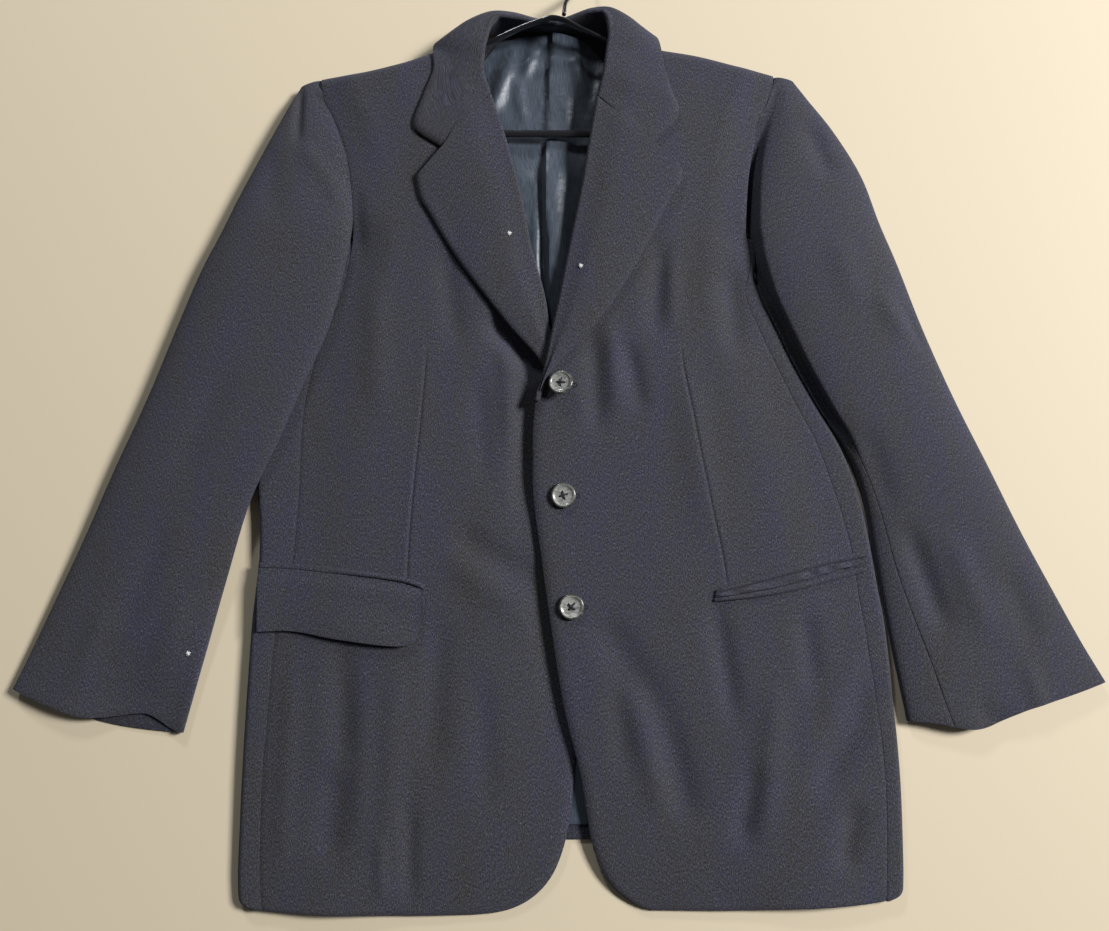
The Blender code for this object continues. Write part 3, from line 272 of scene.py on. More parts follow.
hangerRods = [  # name, half height, half width, points of its middle line
    ("hangerArms", 3.4, 2.1, [
        (-191.5, 712, 10), (-198.5, 716, 9), (-201, 726, 8.2), (-199, 737, 8.2), (-192, 746, 9),
        (-170, 757, 11), (-148, 767, 13.5), (-124, 777, 16), (-100, 787, 18), (-80, 794.5, 20),
        (-61, 801, 22.4), (-44, 807.5, 25), (-28, 813.4, 27.4), (-12, 818, 29.4), (-2, 820, 30.6),
        (8, 818, 30.6), (20, 812.5, 29), (36, 806, 26.6), (52, 800, 23.4), (76, 790.5, 19.4),
        (100, 781.5, 17), (124, 772.5, 14.4), (146, 763, 12), (164, 754, 10), (177, 745, 8.6),
        (183, 736, 8), (183.5, 726, 8), (180.5, 717, 8.6), (173, 712, 9.6),
    ]),
    ("hangerBar", 2.4, 3.6, [
        (-189.6, 711.4, 10.2), (-150, 711, 11.6), (-80, 711, 13), (-5, 711, 13), (70, 711, 13),
        (130, 711, 11.6), (171.1, 711.4, 10),
    ]),
    ("hangerHook", 2.0, 2.0, [
        (9, 822.4, 31.6), (10, 834, 29), (13, 843, 26), (20, 852, 22), (30, 862, 17), (35.4, 875, 12),
        (32, 888.5, 8.6), (21, 898, 6.4), (7, 899.6, 5), (-4.6, 892, 4), (-9.6, 879, 3.2), (-9, 872, 2.8),
    ]),
]


def clamp(value, low=0.0, high=1.0):
    return min(max(value, low), high)


def mix(a, b, share):
    return a + (b - a) * share


def ease(value, start, end):  # from nought at start to one at end
    t = clamp((value - start) / (end - start))
    return t * t * (3.0 - 2.0 * t)


def fade(value, start, end):  # from one at start to nought at end
    return 1.0 - ease(value, start, end)


def bell(value, half):  # one at nought, dying away on both sides
    return math.exp(-((value / half) ** 2))


def spoke(angle):
    return Vector((math.cos(angle), math.sin(angle), 0.0))


def quarter(t):  # height of a quarter circle, from nought to one
    return math.sqrt(1.0 - (1.0 - clamp(t)) ** 2)


def crowd(v, share):  # spread rows closer together near both ends
    return mix(v, (1.0 - math.cos(math.pi * v)) / 2.0, share)


def rowLevel(rows, v):  # the value at a share v of a list's rows, as a share of the last one
    place = clamp(v) * (len(rows) - 1)
    i = min(int(place), len(rows) - 2)
    return mix(rows[i], rows[i + 1], place - i) / rows[-1]


def cutaway(y):  # how far the rounded front corner draws back at a height
    t = clamp((corner["height"] - y) / corner["height"])
    return corner["width"] * (1.0 - (1.0 - t**corner["shape"]) ** (1.0 / corner["shape"]))


def foldHeight(piece, x, y):  # sum of a piece's creases at a point
    total = 0.0
    for x0, y0, x1, y1, half, height in folds[piece]:
        length = math.hypot(x1 - x0, y1 - y0)
        ux, uy = (x1 - x0) / length, (y1 - y0) / length
        along = ((x - x0) * ux + (y - y0) * uy) / length
        across = (x - x0) * uy - (y - y0) * ux
        total += height * (ease(along, -0.15, 0.25) * fade(along, 0.75, 1.15)) * bell(across, half)
    return total * creaseScale[piece]


def keyWhere(table, column, value):  # the key where a column that only rises, or only falls, has a value
    low, high = table.keys[0], table.keys[-1]
    rising = table.at(high, column) > table.at(low, column)
    for _ in range(30):
        middle = (low + high) / 2.0
        if (table.at(middle, column) < value) == rising:
            low = middle
        else:
            high = middle
    return (low + high) / 2.0


linesKept = {}


def lineAt(tables, side, name, y):  # x of a lapel's or a sleeve's line at a height
    key = (name, side, round(y, 1))
    if key not in linesKept:
        table = tables[side]
        linesKept[key] = table.at(keyWhere(table, name + "Y", y), name + "X")
    return linesKept[key]


# Fronts. Heights are in pairs where something starts and where it is complete.
frontForm = {
    "across": {"inner": (0.0, 0.35), "outer": (0.35, 0.75), "side": (0.75, 1.0)},  # shares of the width
    "sewing": (551.0, 597.0),   # where the side body narrows to nothing below the underarm
    "armhole": ((601.0, 637.0), (735.0, 765.0)),
    "dip": {1: (0.8, 3.0), -1: (0.5, 6.0)},  # depth and half width of the dip along each armhole
    "trough": ((-24.0, -8.0), (470.0, 500.0), 0.4),  # of the lower front, beside the upper front's edge
    "tied": (4.2, 325.0, 42.0),  # the fronts lie closer between two buttons: height, y, half width
    "edgeRoll": (1.6, 5.0),      # depth and width of the turned and pressed edges
    "sideDip": (0.3, 3.0),       # depth and half width of the dip at the side seam
}
dartForm = {"top": (512.0, 470.0), "foot": (272.0, 290.0), "groove": (0.95, 1.3), "swell": (0.35, 7.0)}


def frontEdges(side, y):  # x of the inner and the outer edge of a front at a height
    free = bodyPlan.at(y, fronts[side]) + side * cutaway(y)
    underRoll = lineAt(lapels, side, "roll", y) + side * (lapelForm["roll"] + lapelForm["clear"])
    inner = mix(free, underRoll, ease(y, *lapelForm["break"]))
    inner = mix(inner, neckSeam.at(y, hands[side]), ease(y, *lapelForm["gorge"]))
    seam = bodyPlan.at(y, "front" + hands[side])
    sewn = lineAt(sleeves, side, "inner", y) - side * gaps["armhole"]
    return inner, mix(seam - side * gaps["seam"], sewn, ease(y, *frontForm["sewing"]))


def frontHeight(side, u, x, y):  # outer face of a front, u from its inner to its outer edge
    start, end = frontForm["armhole"]
    z = frontHeights[side].at(y, "edge")
    for name, span in frontForm["across"].items():
        height = frontHeights[side].at(y, name)
        if name == "side":
            height = mix(height, armholeTop[side], ease(y, *start) * fade(y, *end))
        z = mix(z, height, ease(u, *span))
    if side < 0:
        (near, far), until, depth = frontForm["trough"]
        edge = bodyPlan.at(y, "over")
        tall, middle, half = frontForm["tied"]
        low = frontHeights[side].at(y, "edge") - depth + tall * bell(y - middle, half)
        z = mix(z, min(z, low), ease(x, edge + near, edge + far) * fade(y, *until))
    depth, half = frontForm["dip"][side]
    z -= depth * ease(y, body["underarm"], body["underarm"] + 35.0) * bell(frontEdges(side, y)[1] - x, half)
    z += foldHeight(fronts[side], x, y)
    below = shoulderLine.at(x, "y") - y
    if below < body["shoulderNose"]:
        z = mix(shoulderLine.at(x, "seam"), z, quarter((below + 0.6) / body["shoulderNose"]))
    return z


def columnShare(u, middle):  # columns crowd together round the dart
    w = 2.0 * u - 1.0
    s = math.copysign(abs(w) ** 1.6, w)
    return middle + s * (middle if s < 0.0 else 1.0 - middle)


def rounded(distance):  # how far a pressed edge has turned down at a distance from it
    depth, width = frontForm["edgeRoll"]
    return depth * (1.0 - quarter(distance / width))


def dartDepth(side, x, y):  # a sewn groove that fades out at its upper point
    off = x - dartLines.at(y, hands[side])
    (depth, half), (swell, wide) = dartForm["groove"], dartForm["swell"]
    sunk = depth * bell(off, half) - swell * bell(off, wide)
    return ease(y, *dartForm["top"]) * ease(y, *dartForm["foot"]) * sunk


def frontPoint(side, u, v):
    level = rowLevel(rowHeights, v)
    y = level * body["top"]
    for _ in range(7):
        inner, outer = frontEdges(side, y)
        dart = dartLines.at(y, hands[side])
        x = mix(inner, outer, columnShare(u, (dart - inner) / (outer - inner)))
        y = mix(y, mix(hemLine.at(x, "y"), shoulderLine.at(x, "y") - gaps["seam"], level), 0.7)
    dip, half = frontForm["sideDip"]
    z = frontHeight(side, (x - inner) / (outer - inner), x, y)
    z -= dartDepth(side, x, y) + dip * bell(outer - x, half)
    z -= rounded(abs(x - inner)) * ease(y, 480.0, 450.0) + rounded(y - hemLine.at(x, "y"))
    return Vector((x, y, z))


sideForm = {"nose": 5.6, "corner": 9.0, "tuck": {1: 0.2, -1: 1.0}, "tuckAlong": 11.0, "tuckDown": 3.6}


def sidePoint(side, u, v):  # u from the front seam round the side edge to the back seam
    row = v * underarmRow / rowCount
    front, back = frontPoint(side, 1.0, row), backPoint(side, 1.0, row)
    seam, reach = abs(front.x) + gaps["seam"], abs(back.x) + gaps["seam"]
    nose, rounding, dip = sideForm["nose"], sideForm["corner"], frontForm["sideDip"][0]
    turns = u * 10.0
    y = mix(front.y, back.y, ease(turns, 3.0, 8.0))
    edge = abs(bodyPlan.at(y, "side" + hands[side])) - nose
    edge -= rounding * (1.0 - quarter((y - hemLine.at(side * edge, "y")) / rounding))
    edge = max(edge, seam + 0.5)
    if turns <= 2.0:
        out, z = mix(seam, edge, turns / 2.0), front.z + dip * ease(turns, 0.0, 1.0)
    elif turns <= 8.0:
        angle = math.radians(90.0 - (turns - 2.0) * 30.0)
        out, z = edge + nose * math.cos(angle), (front.z + dip) / 2.0 * (1.0 + math.sin(angle))
    else:
        out, z = mix(edge, reach, (turns - 8.0) / 2.0), 0.0
    tuck = ease(v, 0.975, 1.0) * ease(turns, 4.0, 2.0)  # its top end runs on under the front
    tuck *= sideForm["tuck"][side]
    return Vector((side * out, y + sideForm["tuckAlong"] * tuck, z - sideForm["tuckDown"] * tuck))


# Back and its lining. The back hem hangs higher at the centre seam.
backForm = {"hemLift": 60.0, "neckX": -8.0, "neckY": 825.0, "under": (62.0, 14.0)}
liningForm = {
    "sides": (-175.0, 165.0), "hem": 74.0, "waist": (0.97, 1.12), "foldScale": 1.35,
    "yoke": (0.8, 22.0, 2.2),  # depth of the yoke seam, its distance from the top and half width
    "clear": 0.4,              # of the back
    "pleat": (-3.0, 6.0),      # x of the pleat's edge at its ends, and how far it bows to the left
    "panel": (4.4, 8.0),       # height of the pleat's panel, and how much higher it is below the bar
    "slope": 5.0,              # how far the cloth rises to the pleat
}


def backPoint(side, u, v):  # half a back, face down, u from the centre seam out
    level = rowLevel(rowHeights, v)
    y = level * body["top"]
    for _ in range(7):
        # the side body takes over underneath before the side edge
        reach = abs(bodyPlan.at(y, "side" + hands[side]))
        reach -= mix(*backForm["under"], ease(y, 420.0, body["underarm"]))
        sewn = abs(lineAt(sleeves, side, "inner", y)) - gaps["armhole"]
        outer = mix(reach, sewn, ease(y, body["underarm"] + 16.0, body["underarm"] + 24.0))
        x = side * mix(gaps["seam"] / 2.0, outer, u)
        fromNeck = abs(x - backForm["neckX"])
        top = mix(shoulderLine.at(x, "y"), backForm["neckY"], ease(fromNeck, 92.0, 30.0)) - gaps["seam"]
        bottom = hemLine.at(x, "y") + backForm["hemLift"] * (1.0 - clamp(abs(x) / 285.0) ** 2.2)
        y = mix(y, mix(bottom, top, level), 0.7)
    z = 0.0
    below = shoulderLine.at(x, "y") - y
    if below < body["shoulderNose"]:
        stand = (shoulderLine.at(x, "seam") - 2.0 * gaps["seam"]) * ease(abs(x - backForm["neckX"]), 72.0, 96.0)
        z = stand * (1.0 - quarter((below - gaps["seam"]) / body["shoulderNose"]))
    return Vector((x, y, max(z, 0.0)))


def liningPoint(u, v):  # it lies on the back, with its pleat and a few soft folds
    level = crowd(v, 0.4)
    x = mix(*liningForm["sides"], u)
    narrow, wide = liningForm["waist"]
    x *= mix(1.0, wide, fade(level, 0.5, 0.8)) * mix(narrow, 1.0, ease(level, 0.0, 0.12))
    y = mix(liningForm["hem"], liningTop.at(x, "y"), level)
    flat = walls["wool"] + liningForm["clear"] + walls["lining"]
    (edge, bow), (low, more) = liningForm["pleat"], liningForm["panel"]
    pleat = x - (edge - bow * math.sin(math.pi * clamp((y - 500.0) / 320.0)))
    panel = low + more * ease(y, 520.0, 590.0) * fade(y, 665.0, 700.0)
    slope = liningForm["slope"] * ease(y, 500.0, 560.0) * fade(y, 660.0, 695.0)
    z = flat + slope * ease(pleat, -40.0, -8.0) * fade(pleat, -8.0, -3.0)
    z += panel * ease(y, 470.0, 520.0) * ease(pleat, -2.0, 1.0) * fade(pleat, 8.0, 40.0)
    for atX, atY, broad, tall, slant, height in liningFolds:
        off = (x - atX) - slant * (y - atY)
        z += liningForm["foldScale"] * height * math.exp(-((off / broad) ** 2) - ((y - atY) / tall) ** 2)
    depth, down, half = liningForm["yoke"]
    z -= depth * bell(y - liningTop.at(x, "y") + down, half)
    return Vector((x, y, max(z, flat)))


hairpinTurn = (0.22, 0.48)  # shares of the collar's section where its roll starts and ends


def collarPoint(u, v):  # up the stand, over the roll and out to the leaf's edge
    s = v * 16.0
    seam, roll, edge = (collarSections.point(s, name) for name in ("seam", "roll", "edge"))
    lean, radius = math.radians(collarSections.at(s, "lean")), lapelForm["roll"]
    out = (edge - roll).xy.to_3d().normalized()
    tip = up * math.sin(lean) - out * math.cos(lean)
    inner = -up * math.cos(lean) - out * math.sin(lean)
    centre = roll - tip * radius
    start, end = hairpinTurn
    if u < start:
        return seam.lerp(centre + inner * radius, u / start)
    if u < end:
        angle = math.pi * (u - start) / (end - start)
        return centre + inner * radius * math.cos(angle) + tip * radius * math.sin(angle)
    t = (u - end) / (1.0 - end)
    first = centre - inner * radius
    place = first.lerp(edge, t)
    place.z = mix(first.z, edge.z, t ** collarSections.at(s, "drop"))
    return place


def lapelPoint(side, u, v):  # from where the front meets it, over the roll to its edge
    roll, tip = lapels[side].point(v, "roll"), lapels[side].point(v, "tip")
    radius, turn = lapelForm["roll"], lapelForm["turn"]
    out = (tip - roll).xy.to_3d()
    width = out.length
    out.normalize()
    if u < turn:
        centre = roll + out * radius - up * radius
        sweep = mix(math.radians(40.0), math.pi, ease(v, 0.04, 0.34))
        angle = math.pi - sweep * (1.0 - u / turn)
        return centre - out * radius * math.sin(angle) - up * radius * math.cos(angle)
    t = (u - turn) / (1.0 - turn)
    place = (roll + out * radius).lerp(tip, t)
    place.z += lapelForm["arch"] * math.sin(math.pi * t) * ease(width, 20.0, 70.0)
    tuck = ease(v, 0.975, 1.0) * fade(t, 0.4, 0.6)  # its top runs on under the collar
    return place + tuck * Vector(lapelForm["tuck"][side])


sleeveForm = {
    "hindSeam": 240.0,     # angle round the sleeve of its back seam
    "flat": {1: 0.05, -1: 0.27},  # share of a sleeve's width that lies on the body
    "run": 0.42,           # share over which it comes down to the surface
    "head": (0.2, 0.275),  # share of the length over which the head turns into the tube
    "belly": 0.86,         # how far the tube's inner edge rises towards its half height
    "blunt": 0.85,         # powers that shape the section: across, over the tube and the head, under
    "over": (0.72, 1.5),
    "under": 0.3,
    "armhole": (9.4, 17.4),
    "outer": 7.0,          # height of its outer edge, whose top is lower by this share:
    "slope": 0.12,
    "bow": 9.0,            # of the hem towards the hand
    "lip": (14.0, 5.2),    # how far the left hem is pushed back, and how high it is pressed
    "droop": (10.0, 0.34, 0.17),  # of the right hem's upper layer: depth, place and half width
}
trench = {"level": 4.0, "flat": 3.0, "wall": 8.0}  # the low strip of the right sleeve next to the body


def sleeveSection(side, t, angle):  # a point round a sleeve: 0 at its inner edge, 180 at its outer edge
    table = sleeves[side]
    inner, outer = table.point(t, "inner"), table.point(t, "outer")
    if side > 0:  # it tucks up against the side body as far as the waist
        against = bodyPlan.at(inner.y, "sideRight") + 0.5
        inner.x = mix(inner.x, min(inner.x, against), ease(t, 0.27, 0.3) * fade(t, 0.52, 0.64))
    tall, lift = table.at(t, "tall"), table.at(t, "lift")
    cap = fade(t, *sleeveForm["head"])
    c, s = -math.cos(math.radians(angle)), math.sin(math.radians(angle))
    share = (1.0 + math.copysign(abs(c) ** sleeveForm["blunt"], c)) / 2.0
    start = sleeveForm["flat"][side]
    floor = lift * fade(share, start, start + sleeveForm["run"])
    low, high = sleeveForm["armhole"]
    armholeRise = low if side > 0 else mix(low, high, ease(t, 0.0, 0.07))
    innerMid = mix(mix(lift, lift + (tall - lift) * 0.5, sleeveForm["belly"]), armholeRise, cap)
    middle = mix(innerMid, sleeveForm["outer"], ease(share, 0.0, 0.9))
    top = tall * (1.0 - sleeveForm["slope"] * share)
    out = share * (outer - inner).length
    if s >= 0.0:
        flush = 1.0 if side < 0 else fade(t, 0.12, 0.25)  # how far the sleeve starts level with the front
        rise = mix(*sleeveForm["over"], cap * flush * fade(share, 0.25, 0.6))
        z = middle + (top - middle) * abs(s) ** rise
        meeting = cap * flush * bell(out, 9.0) * ease(t, -0.01, 0.05)
        z = mix(z, max(z, armholeTop[side] - 0.3), meeting)
    else:
        z = middle - (middle - floor) * abs(s) ** sleeveForm["under"]
    bow = -sleeveForm["bow"] * math.sin(math.pi * share) * ease(t, 0.9, 1.0)
    place = inner.lerp(outer, share)
    if s > 0.0:
        if side > 0:  # the right sleeve leaves a trench beside the body
            deep = ease(t, 0.08, 0.24) * fade(t, 0.5, 0.66)
            z = mix(z, trench["level"], deep * fade(out, trench["flat"], trench["flat"] + trench["wall"]))
        z += foldHeight("sleeve" + hands[side], place.x, place.y) * min(1.0, s * 1.6)
        hem = ease(t, 0.92, 1.0) * min(1.0, s * 2.0)
        if side > 0:  # the upper layer hangs below the lower one here
            depth, at, half = sleeveForm["droop"]
            bow -= depth * bell(share - at, half) * hem
        else:  # and here it is pushed back and pressed down, so the lower one shows
            back, level = sleeveForm["lip"]
            bow += back * (ease(share, 0.0, 0.24) * fade(share, 0.2, 0.62)) * hem
            z = mix(z, level, ease(share, -0.1, 0.1) * fade(share, 0.35, 0.75) * ease(t, 0.86, 1.0))
    elif side > 0:
        bow += 3.0 * math.sin(math.pi * share) * ease(t, 0.94, 1.0) * min(1.0, -s * 2.0)
    return Vector((place.x, place.y + bow, z))


def topSleevePoint(side, u, v):
    t = rowLevel(sleeveRows, v)
    return sleeveSection(side, t, mix(sleeves[side].at(t, "seam"), sleeveForm["hindSeam"], u))


def pastSeam(side, t, angle, way):  # the angle a seam's width past the top sleeve's edge
    edge = sleeveSection(side, t, angle)
    moved = angle
    while (sleeveSection(side, t, moved) - edge).length < gaps["sleeve"] and abs(moved - angle) < 40.0:
        moved += way * 0.2
    return moved


seamAngles = {}


def underSleevePoint(side, u, v):  # a loop below the armhole, a flat sheet under the sleeve's head
    table, t = sleeves[side], rowLevel(sleeveRows, v)
    key = (side, round(t, 5))
    if key not in seamAngles:
        behind = pastSeam(side, t, sleeveForm["hindSeam"], 1.0)
        seamAngles[key] = (behind, pastSeam(side, t, table.at(t, "seam"), -1.0) + 360.0)
    first, last = seamAngles[key]
    loop, start = sleeveSection(side, t, mix(first, last, u)), sleeveSection(side, t, first)
    flat = start.lerp(table.point(t, "inner").to_3d(), u)
    return loop.lerp(flat, fade(t, *sleeveForm["head"]))


# The pockets. Their strips lie on the front, so only their outlines are given here.
pocketForm = {"jet": 4.6, "seamDip": 1.4, "flapCurl": 3.8, "jetRoll": 1.7, "slit": 2.2}


def flapPoint(u, v):  # u from its front end to its side end, v down from its seam
    u = crowd(u, 0.6)
    place = flapOutline.point(u, "top").lerp(flapOutline.point(u, "low"), v)
    return Vector((place.x, place.y - gaps["seam"], 0.0))


def jetLeftPoint(u, v):
    top = flapOutline.point(u, "top")
    return Vector((top.x, top.y + gaps["seam"] + pocketForm["jet"] * (1.0 - v), 0.0))


def mouthPoint(start, end, u, v):  # a strip of the right pocket's mouth between two shares of its height
    gape = 0.04 + 0.1 * ease(u, 0.45, 1.0) if start == 0.3 else 0.0  # the slit opens towards the side
    low, high = mouthOutline.point(u, "low"), mouthOutline.point(u, "high")
    return low.lerp(high, mix(end, start + gape, v)).to_3d()


def srgb(code):
    parts = [int(code[i : i + 2], 16) / 255.0 for i in (1, 3, 5)]
    return [p / 12.92 if p <= 0.04045 else ((p + 0.055) / 1.055) ** 2.4 for p in parts] + [1.0]


def addNode(tree, kind, settings, outputs):  # a word given for a socket is the node that feeds it
    node = tree.nodes.new("ShaderNode" + kind)
    for key, value in settings.items():
        if key == "stops":  # the places and hex colours of a ramp
            while len(node.color_ramp.elements) < len(value):
                node.color_ramp.elements.new(0.5)
            for element, (place, code) in zip(node.color_ramp.elements, value):
                element.position, element.color = place, srgb(code)
        elif isinstance(key, str) and key not in node.inputs:
            setattr(node, key, value)
        elif isinstance(value, str):
            tree.links.new(outputs[value], node.inputs[key])
        else:
            node.inputs[key].default_value = value
    return node.outputs[{"TexCoord": "Object", "Mix": 2}.get(kind, 0)]


def newMaterial(name, sockets, nodes=()):
    # nodes are rows of name, kind and settings, and one that has a socket's name feeds that socket
    made = bpy.data.materials.new(name)
    made.use_nodes = True
    surface, outputs = made.node_tree.nodes["Principled BSDF"], {}
    for key, value in sockets.items():
        surface.inputs[key].default_value = srgb(value) if isinstance(value, str) else value
    for row, kind, settings in nodes:
        outputs[row] = addNode(made.node_tree, kind, settings, outputs)
        if row in surface.inputs:
            made.node_tree.links.new(outputs[row], surface.inputs[row])
    return made


flannel = {
    "deep": "#232429", "ground": "#363640", "light": "#4f4f5b", "fleck": "#9698a4",
    "fibre": 1000.0,      # a heather of 1 mm clumps, twice as long down the warp
    "mottle": 240.0,      # 4 mm clumps where the nap lies differently
    "twill": 1.4,         # mm between twill ridges, coarser than the real 0.9 so that it shows
    "fleckScale": 520.0,  # pale fibres in the blend, 2 mm apart
    "nap": 700.0,
    "wear": 36.0,
}


def woolFlannel(name, shadeTone=1.0):
    # milled wool flannel: matt, with a nap that blurs the twill, mixed from dark, slate and a few pale fibres
    stops = [(0.35, flannel["deep"]), (0.5, flannel["ground"]), (0.66, flannel["light"])]
    # a tone below one darkens the whole cloth, painted shade used for the inner faces; the patches on top are
    # random wear
    worn = {"From Min": 0.62, "From Max": 1.18, "To Min": 0.8 * shadeTone, "To Max": 1.22 * shadeTone, "Value": "patches"}
    bands = {
        "wave_type": "BANDS", "bands_direction": "DIAGONAL", "Scale": 180.0 / flannel["twill"], "Distortion": 1.6,
    }
    return newMaterial(name, {
        "Base Color": flannel["ground"], "Roughness": 0.93, "Specular IOR Level": 0.2,
        "Sheen Weight": 0.2, "Sheen Roughness": 0.5, "Sheen Tint": "#9c9db2",
    }, [
        ("cloth", "UVMap", {"uv_map": "cloth"}),
        ("warp", "Mapping", {"Vector": "cloth", "Scale": (1.0, 0.5, 1.0)}),
        ("fibres", "TexNoise", {"Vector": "warp", "Scale": flannel["fibre"], "Detail": 4.0, "Roughness": 0.62}),
        ("heather", "ValToRGB", {"Fac": "fibres", "stops": stops}),
        ("specks", "TexNoise", {"Vector": "cloth", "Scale": flannel["fleckScale"], "Detail": 2.0}),
        ("speckMask", "MapRange", {"Value": "specks", "From Min": 0.64, "From Max": 0.74, "To Max": 0.24}),
        ("flecked", "Mix", {"data_type": "RGBA", 0: "speckMask", 6: "heather", 7: srgb(flannel["fleck"])}),
        ("clumps", "TexNoise", {"Vector": "warp", "Scale": flannel["mottle"], "Detail": 3.0}),
        ("places", "TexCoord", {}),
        ("streak", "Mapping", {"Vector": "places", "Scale": (1.0, 0.3, 1.0)}),
        ("wear", "TexNoise", {"Vector": "streak", "Scale": flannel["wear"], "Detail": 3.0}),
        ("patches", "Math", {"operation": "MULTIPLY_ADD", 0: "clumps", 1: 0.8, 2: "wear"}),
        ("worn", "MapRange", worn),
        ("bluer", "MapRange", {"Value": "patches", "From Min": 0.7, "From Max": 1.1, "To Min": 0.2, "To Max": 1.2}),
        ("Base Color", "HueSaturation", {"Color": "flecked", "Value": "worn", "Saturation": "bluer"}),
        ("bands", "TexWave", {**bands, "Vector": "cloth", "Detail": 2.0}),
        ("nap", "TexNoise", {"Vector": "warp", "Scale": flannel["nap"], "Detail": 5.0, "Roughness": 0.7}),
        ("lumps", "Math", {"operation": "MULTIPLY_ADD", 0: "bands", 1: 0.1, 2: "nap"}),
        ("Normal", "Bump", {"Strength": 0.7, "Distance": 0.0007, "Height": "lumps"}),
    ])


def satinLining():
    # woven viscose satin: long smooth warp floats, so a soft slate shine that runs across the thread
    return newMaterial("satinLining", {
        "Base Color": "#3a444f", "Roughness": 0.42, "Sheen Weight": 0.1, "Anisotropic": 0.35,
    }, [
        ("cloth", "UVMap", {"uv_map": "cloth"}),
        ("warp", "Mapping", {"Vector": "cloth", "Scale": (1.0, 0.05, 1.0)}),
        ("threads", "TexNoise", {"Vector": "warp", "Scale": 1500.0, "Detail": 2.0}),
        ("Base Color", "ValToRGB", {"Fac": "threads", "stops": [(0.3, "#2b333c"), (0.7, "#4a545f")]}),
        ("ripples", "TexNoise", {"Vector": "cloth", "Scale": 46.0, "Detail": 3.0}),
        ("height", "Math", {"operation": "MULTIPLY_ADD", 0: "threads", 1: 0.03, 2: "ripples"}),
        ("Normal", "Bump", {"Strength": 0.5, "Distance": 0.003, "Height": "height"}),
    ])


def buttonPolyester(name, dark, middle, pale):
    # polyester pressed and polished to look like grey horn: clouded, with a clear wet shine; the face's pale greys
    # are painted highlight, paler than the button's own colour
    return newMaterial(name, {
        "Base Color": middle, "Roughness": 0.24, "Coat Weight": 0.35, "Coat Roughness": 0.12,
    }, [
        ("places", "TexCoord", {}),
        ("drift", "Mapping", {"Vector": "places", "Scale": (1.0, 2.6, 1.0)}),
        ("clouds", "TexNoise", {"Vector": "drift", "Scale": 170.0, "Detail": 4.0, "Distortion": 0.8}),
        ("Base Color", "ValToRGB", {"Fac": "clouds", "stops": [(0.32, dark), (0.52, middle), (0.7, pale)]}),
        ("scratches", "TexNoise", {"Vector": "places", "Scale": 2200.0, "Detail": 2.0}),
        ("Normal", "Bump", {"Strength": 0.12, "Distance": 0.0002, "Height": "scratches"}),
    ])


def hangerPolystyrene():
    # injection-moulded polystyrene: black and glossy, with faint flow marks
    return newMaterial("hangerPolystyrene", {
        "Base Color": "#1c1c1f", "Roughness": 0.3, "Coat Weight": 1.0, "Coat Roughness": 0.12,
    }, [
        ("places", "TexCoord", {}),
        ("flow", "TexNoise", {"Vector": "places", "Scale": 90.0, "Detail": 2.0}),
        ("Roughness", "MapRange", {"Value": "flow", "To Min": 0.16, "To Max": 0.3}),
    ])


def spunFibre(name, dark, pale, scale):
    # spun and twisted staple fibre: dull, its plies darker between than on top, a painted shade laid on by a noise
    return newMaterial(name, {"Base Color": pale, "Roughness": 0.85}, [
        ("places", "TexCoord", {}),
        ("twist", "TexNoise", {"Vector": "places", "Scale": scale, "Detail": 1.0}),
        ("Base Color", "ValToRGB", {"Fac": "twist", "stops": [(0.3, dark), (0.7, pale)]}),
    ])


finishes = {
    "wool": woolFlannel("navyFlannel"),
    # the inner faces get a darker copy of the flannel, tone 0.8: painted shade
    "woolInside": woolFlannel("flannelInside", 0.8),
    "satin": satinLining(),
    # the face's greys are paler than the button's own colour: painted highlight for glare
    "horn": buttonPolyester("buttonFacePaintedGlare", "#646560", "#8d8e88", "#a8a9a3"),
    "rim": buttonPolyester("buttonRim", "#33352f", "#4d4f48", "#6a6c64"),
    "black_rod": hangerPolystyrene(),
    "thread": spunFibre("sewingThread", "#0e0f15", "#262835", 2600.0),
    "lint": spunFibre("lintFluff", "#b9b8b2", "#eeede8", 1800.0),
}
print("materials made:", len(finishes))


def linkObject(name, data):
    made = bpy.data.objects.new(name, data)
    bpy.context.scene.collection.objects.link(made)
    return made


def meshObject(name, bm):
    mesh = bpy.data.meshes.new(name)
    bm.to_mesh(mesh)
    bm.free()
    return linkObject(name, mesh)


def toFrame(bm, place=lambda spot: spot):
    for vert in bm.verts:
        vert.co = place(vert.co) * mm + shift


def addModifier(piece, name, kind, **settings):
    made = piece.modifiers.new(name, kind)
    for key, value in settings.items():
        setattr(made, key, value)


clothFinish = {"edgeRound": 0.55, "edgeSteps": 2, "sharp": 52.0, "smooth": 0.3}
trees = {}


def heightOver(names, x, y):  # the top of the named pieces at a place, or beside it over a seam, in mm
    for reach in (0.8, 1.6, 3.2):
        tops = []
        for dx, dy in ((0, 0), (1, 0), (-1, 0), (0, 1), (0, -1)):
            start = Vector((x + dx * reach, y + dy * reach, 200.0))
            hits = [trees[name].ray_cast(start, -up)[0] for name in names]
            tops += [hit.z for hit in hits if hit is not None]
        if tops:
            return max(tops)
    return None


def nodeOf(name):
    return "".join("_" + letter.lower() if letter.isupper() else letter for letter in name)


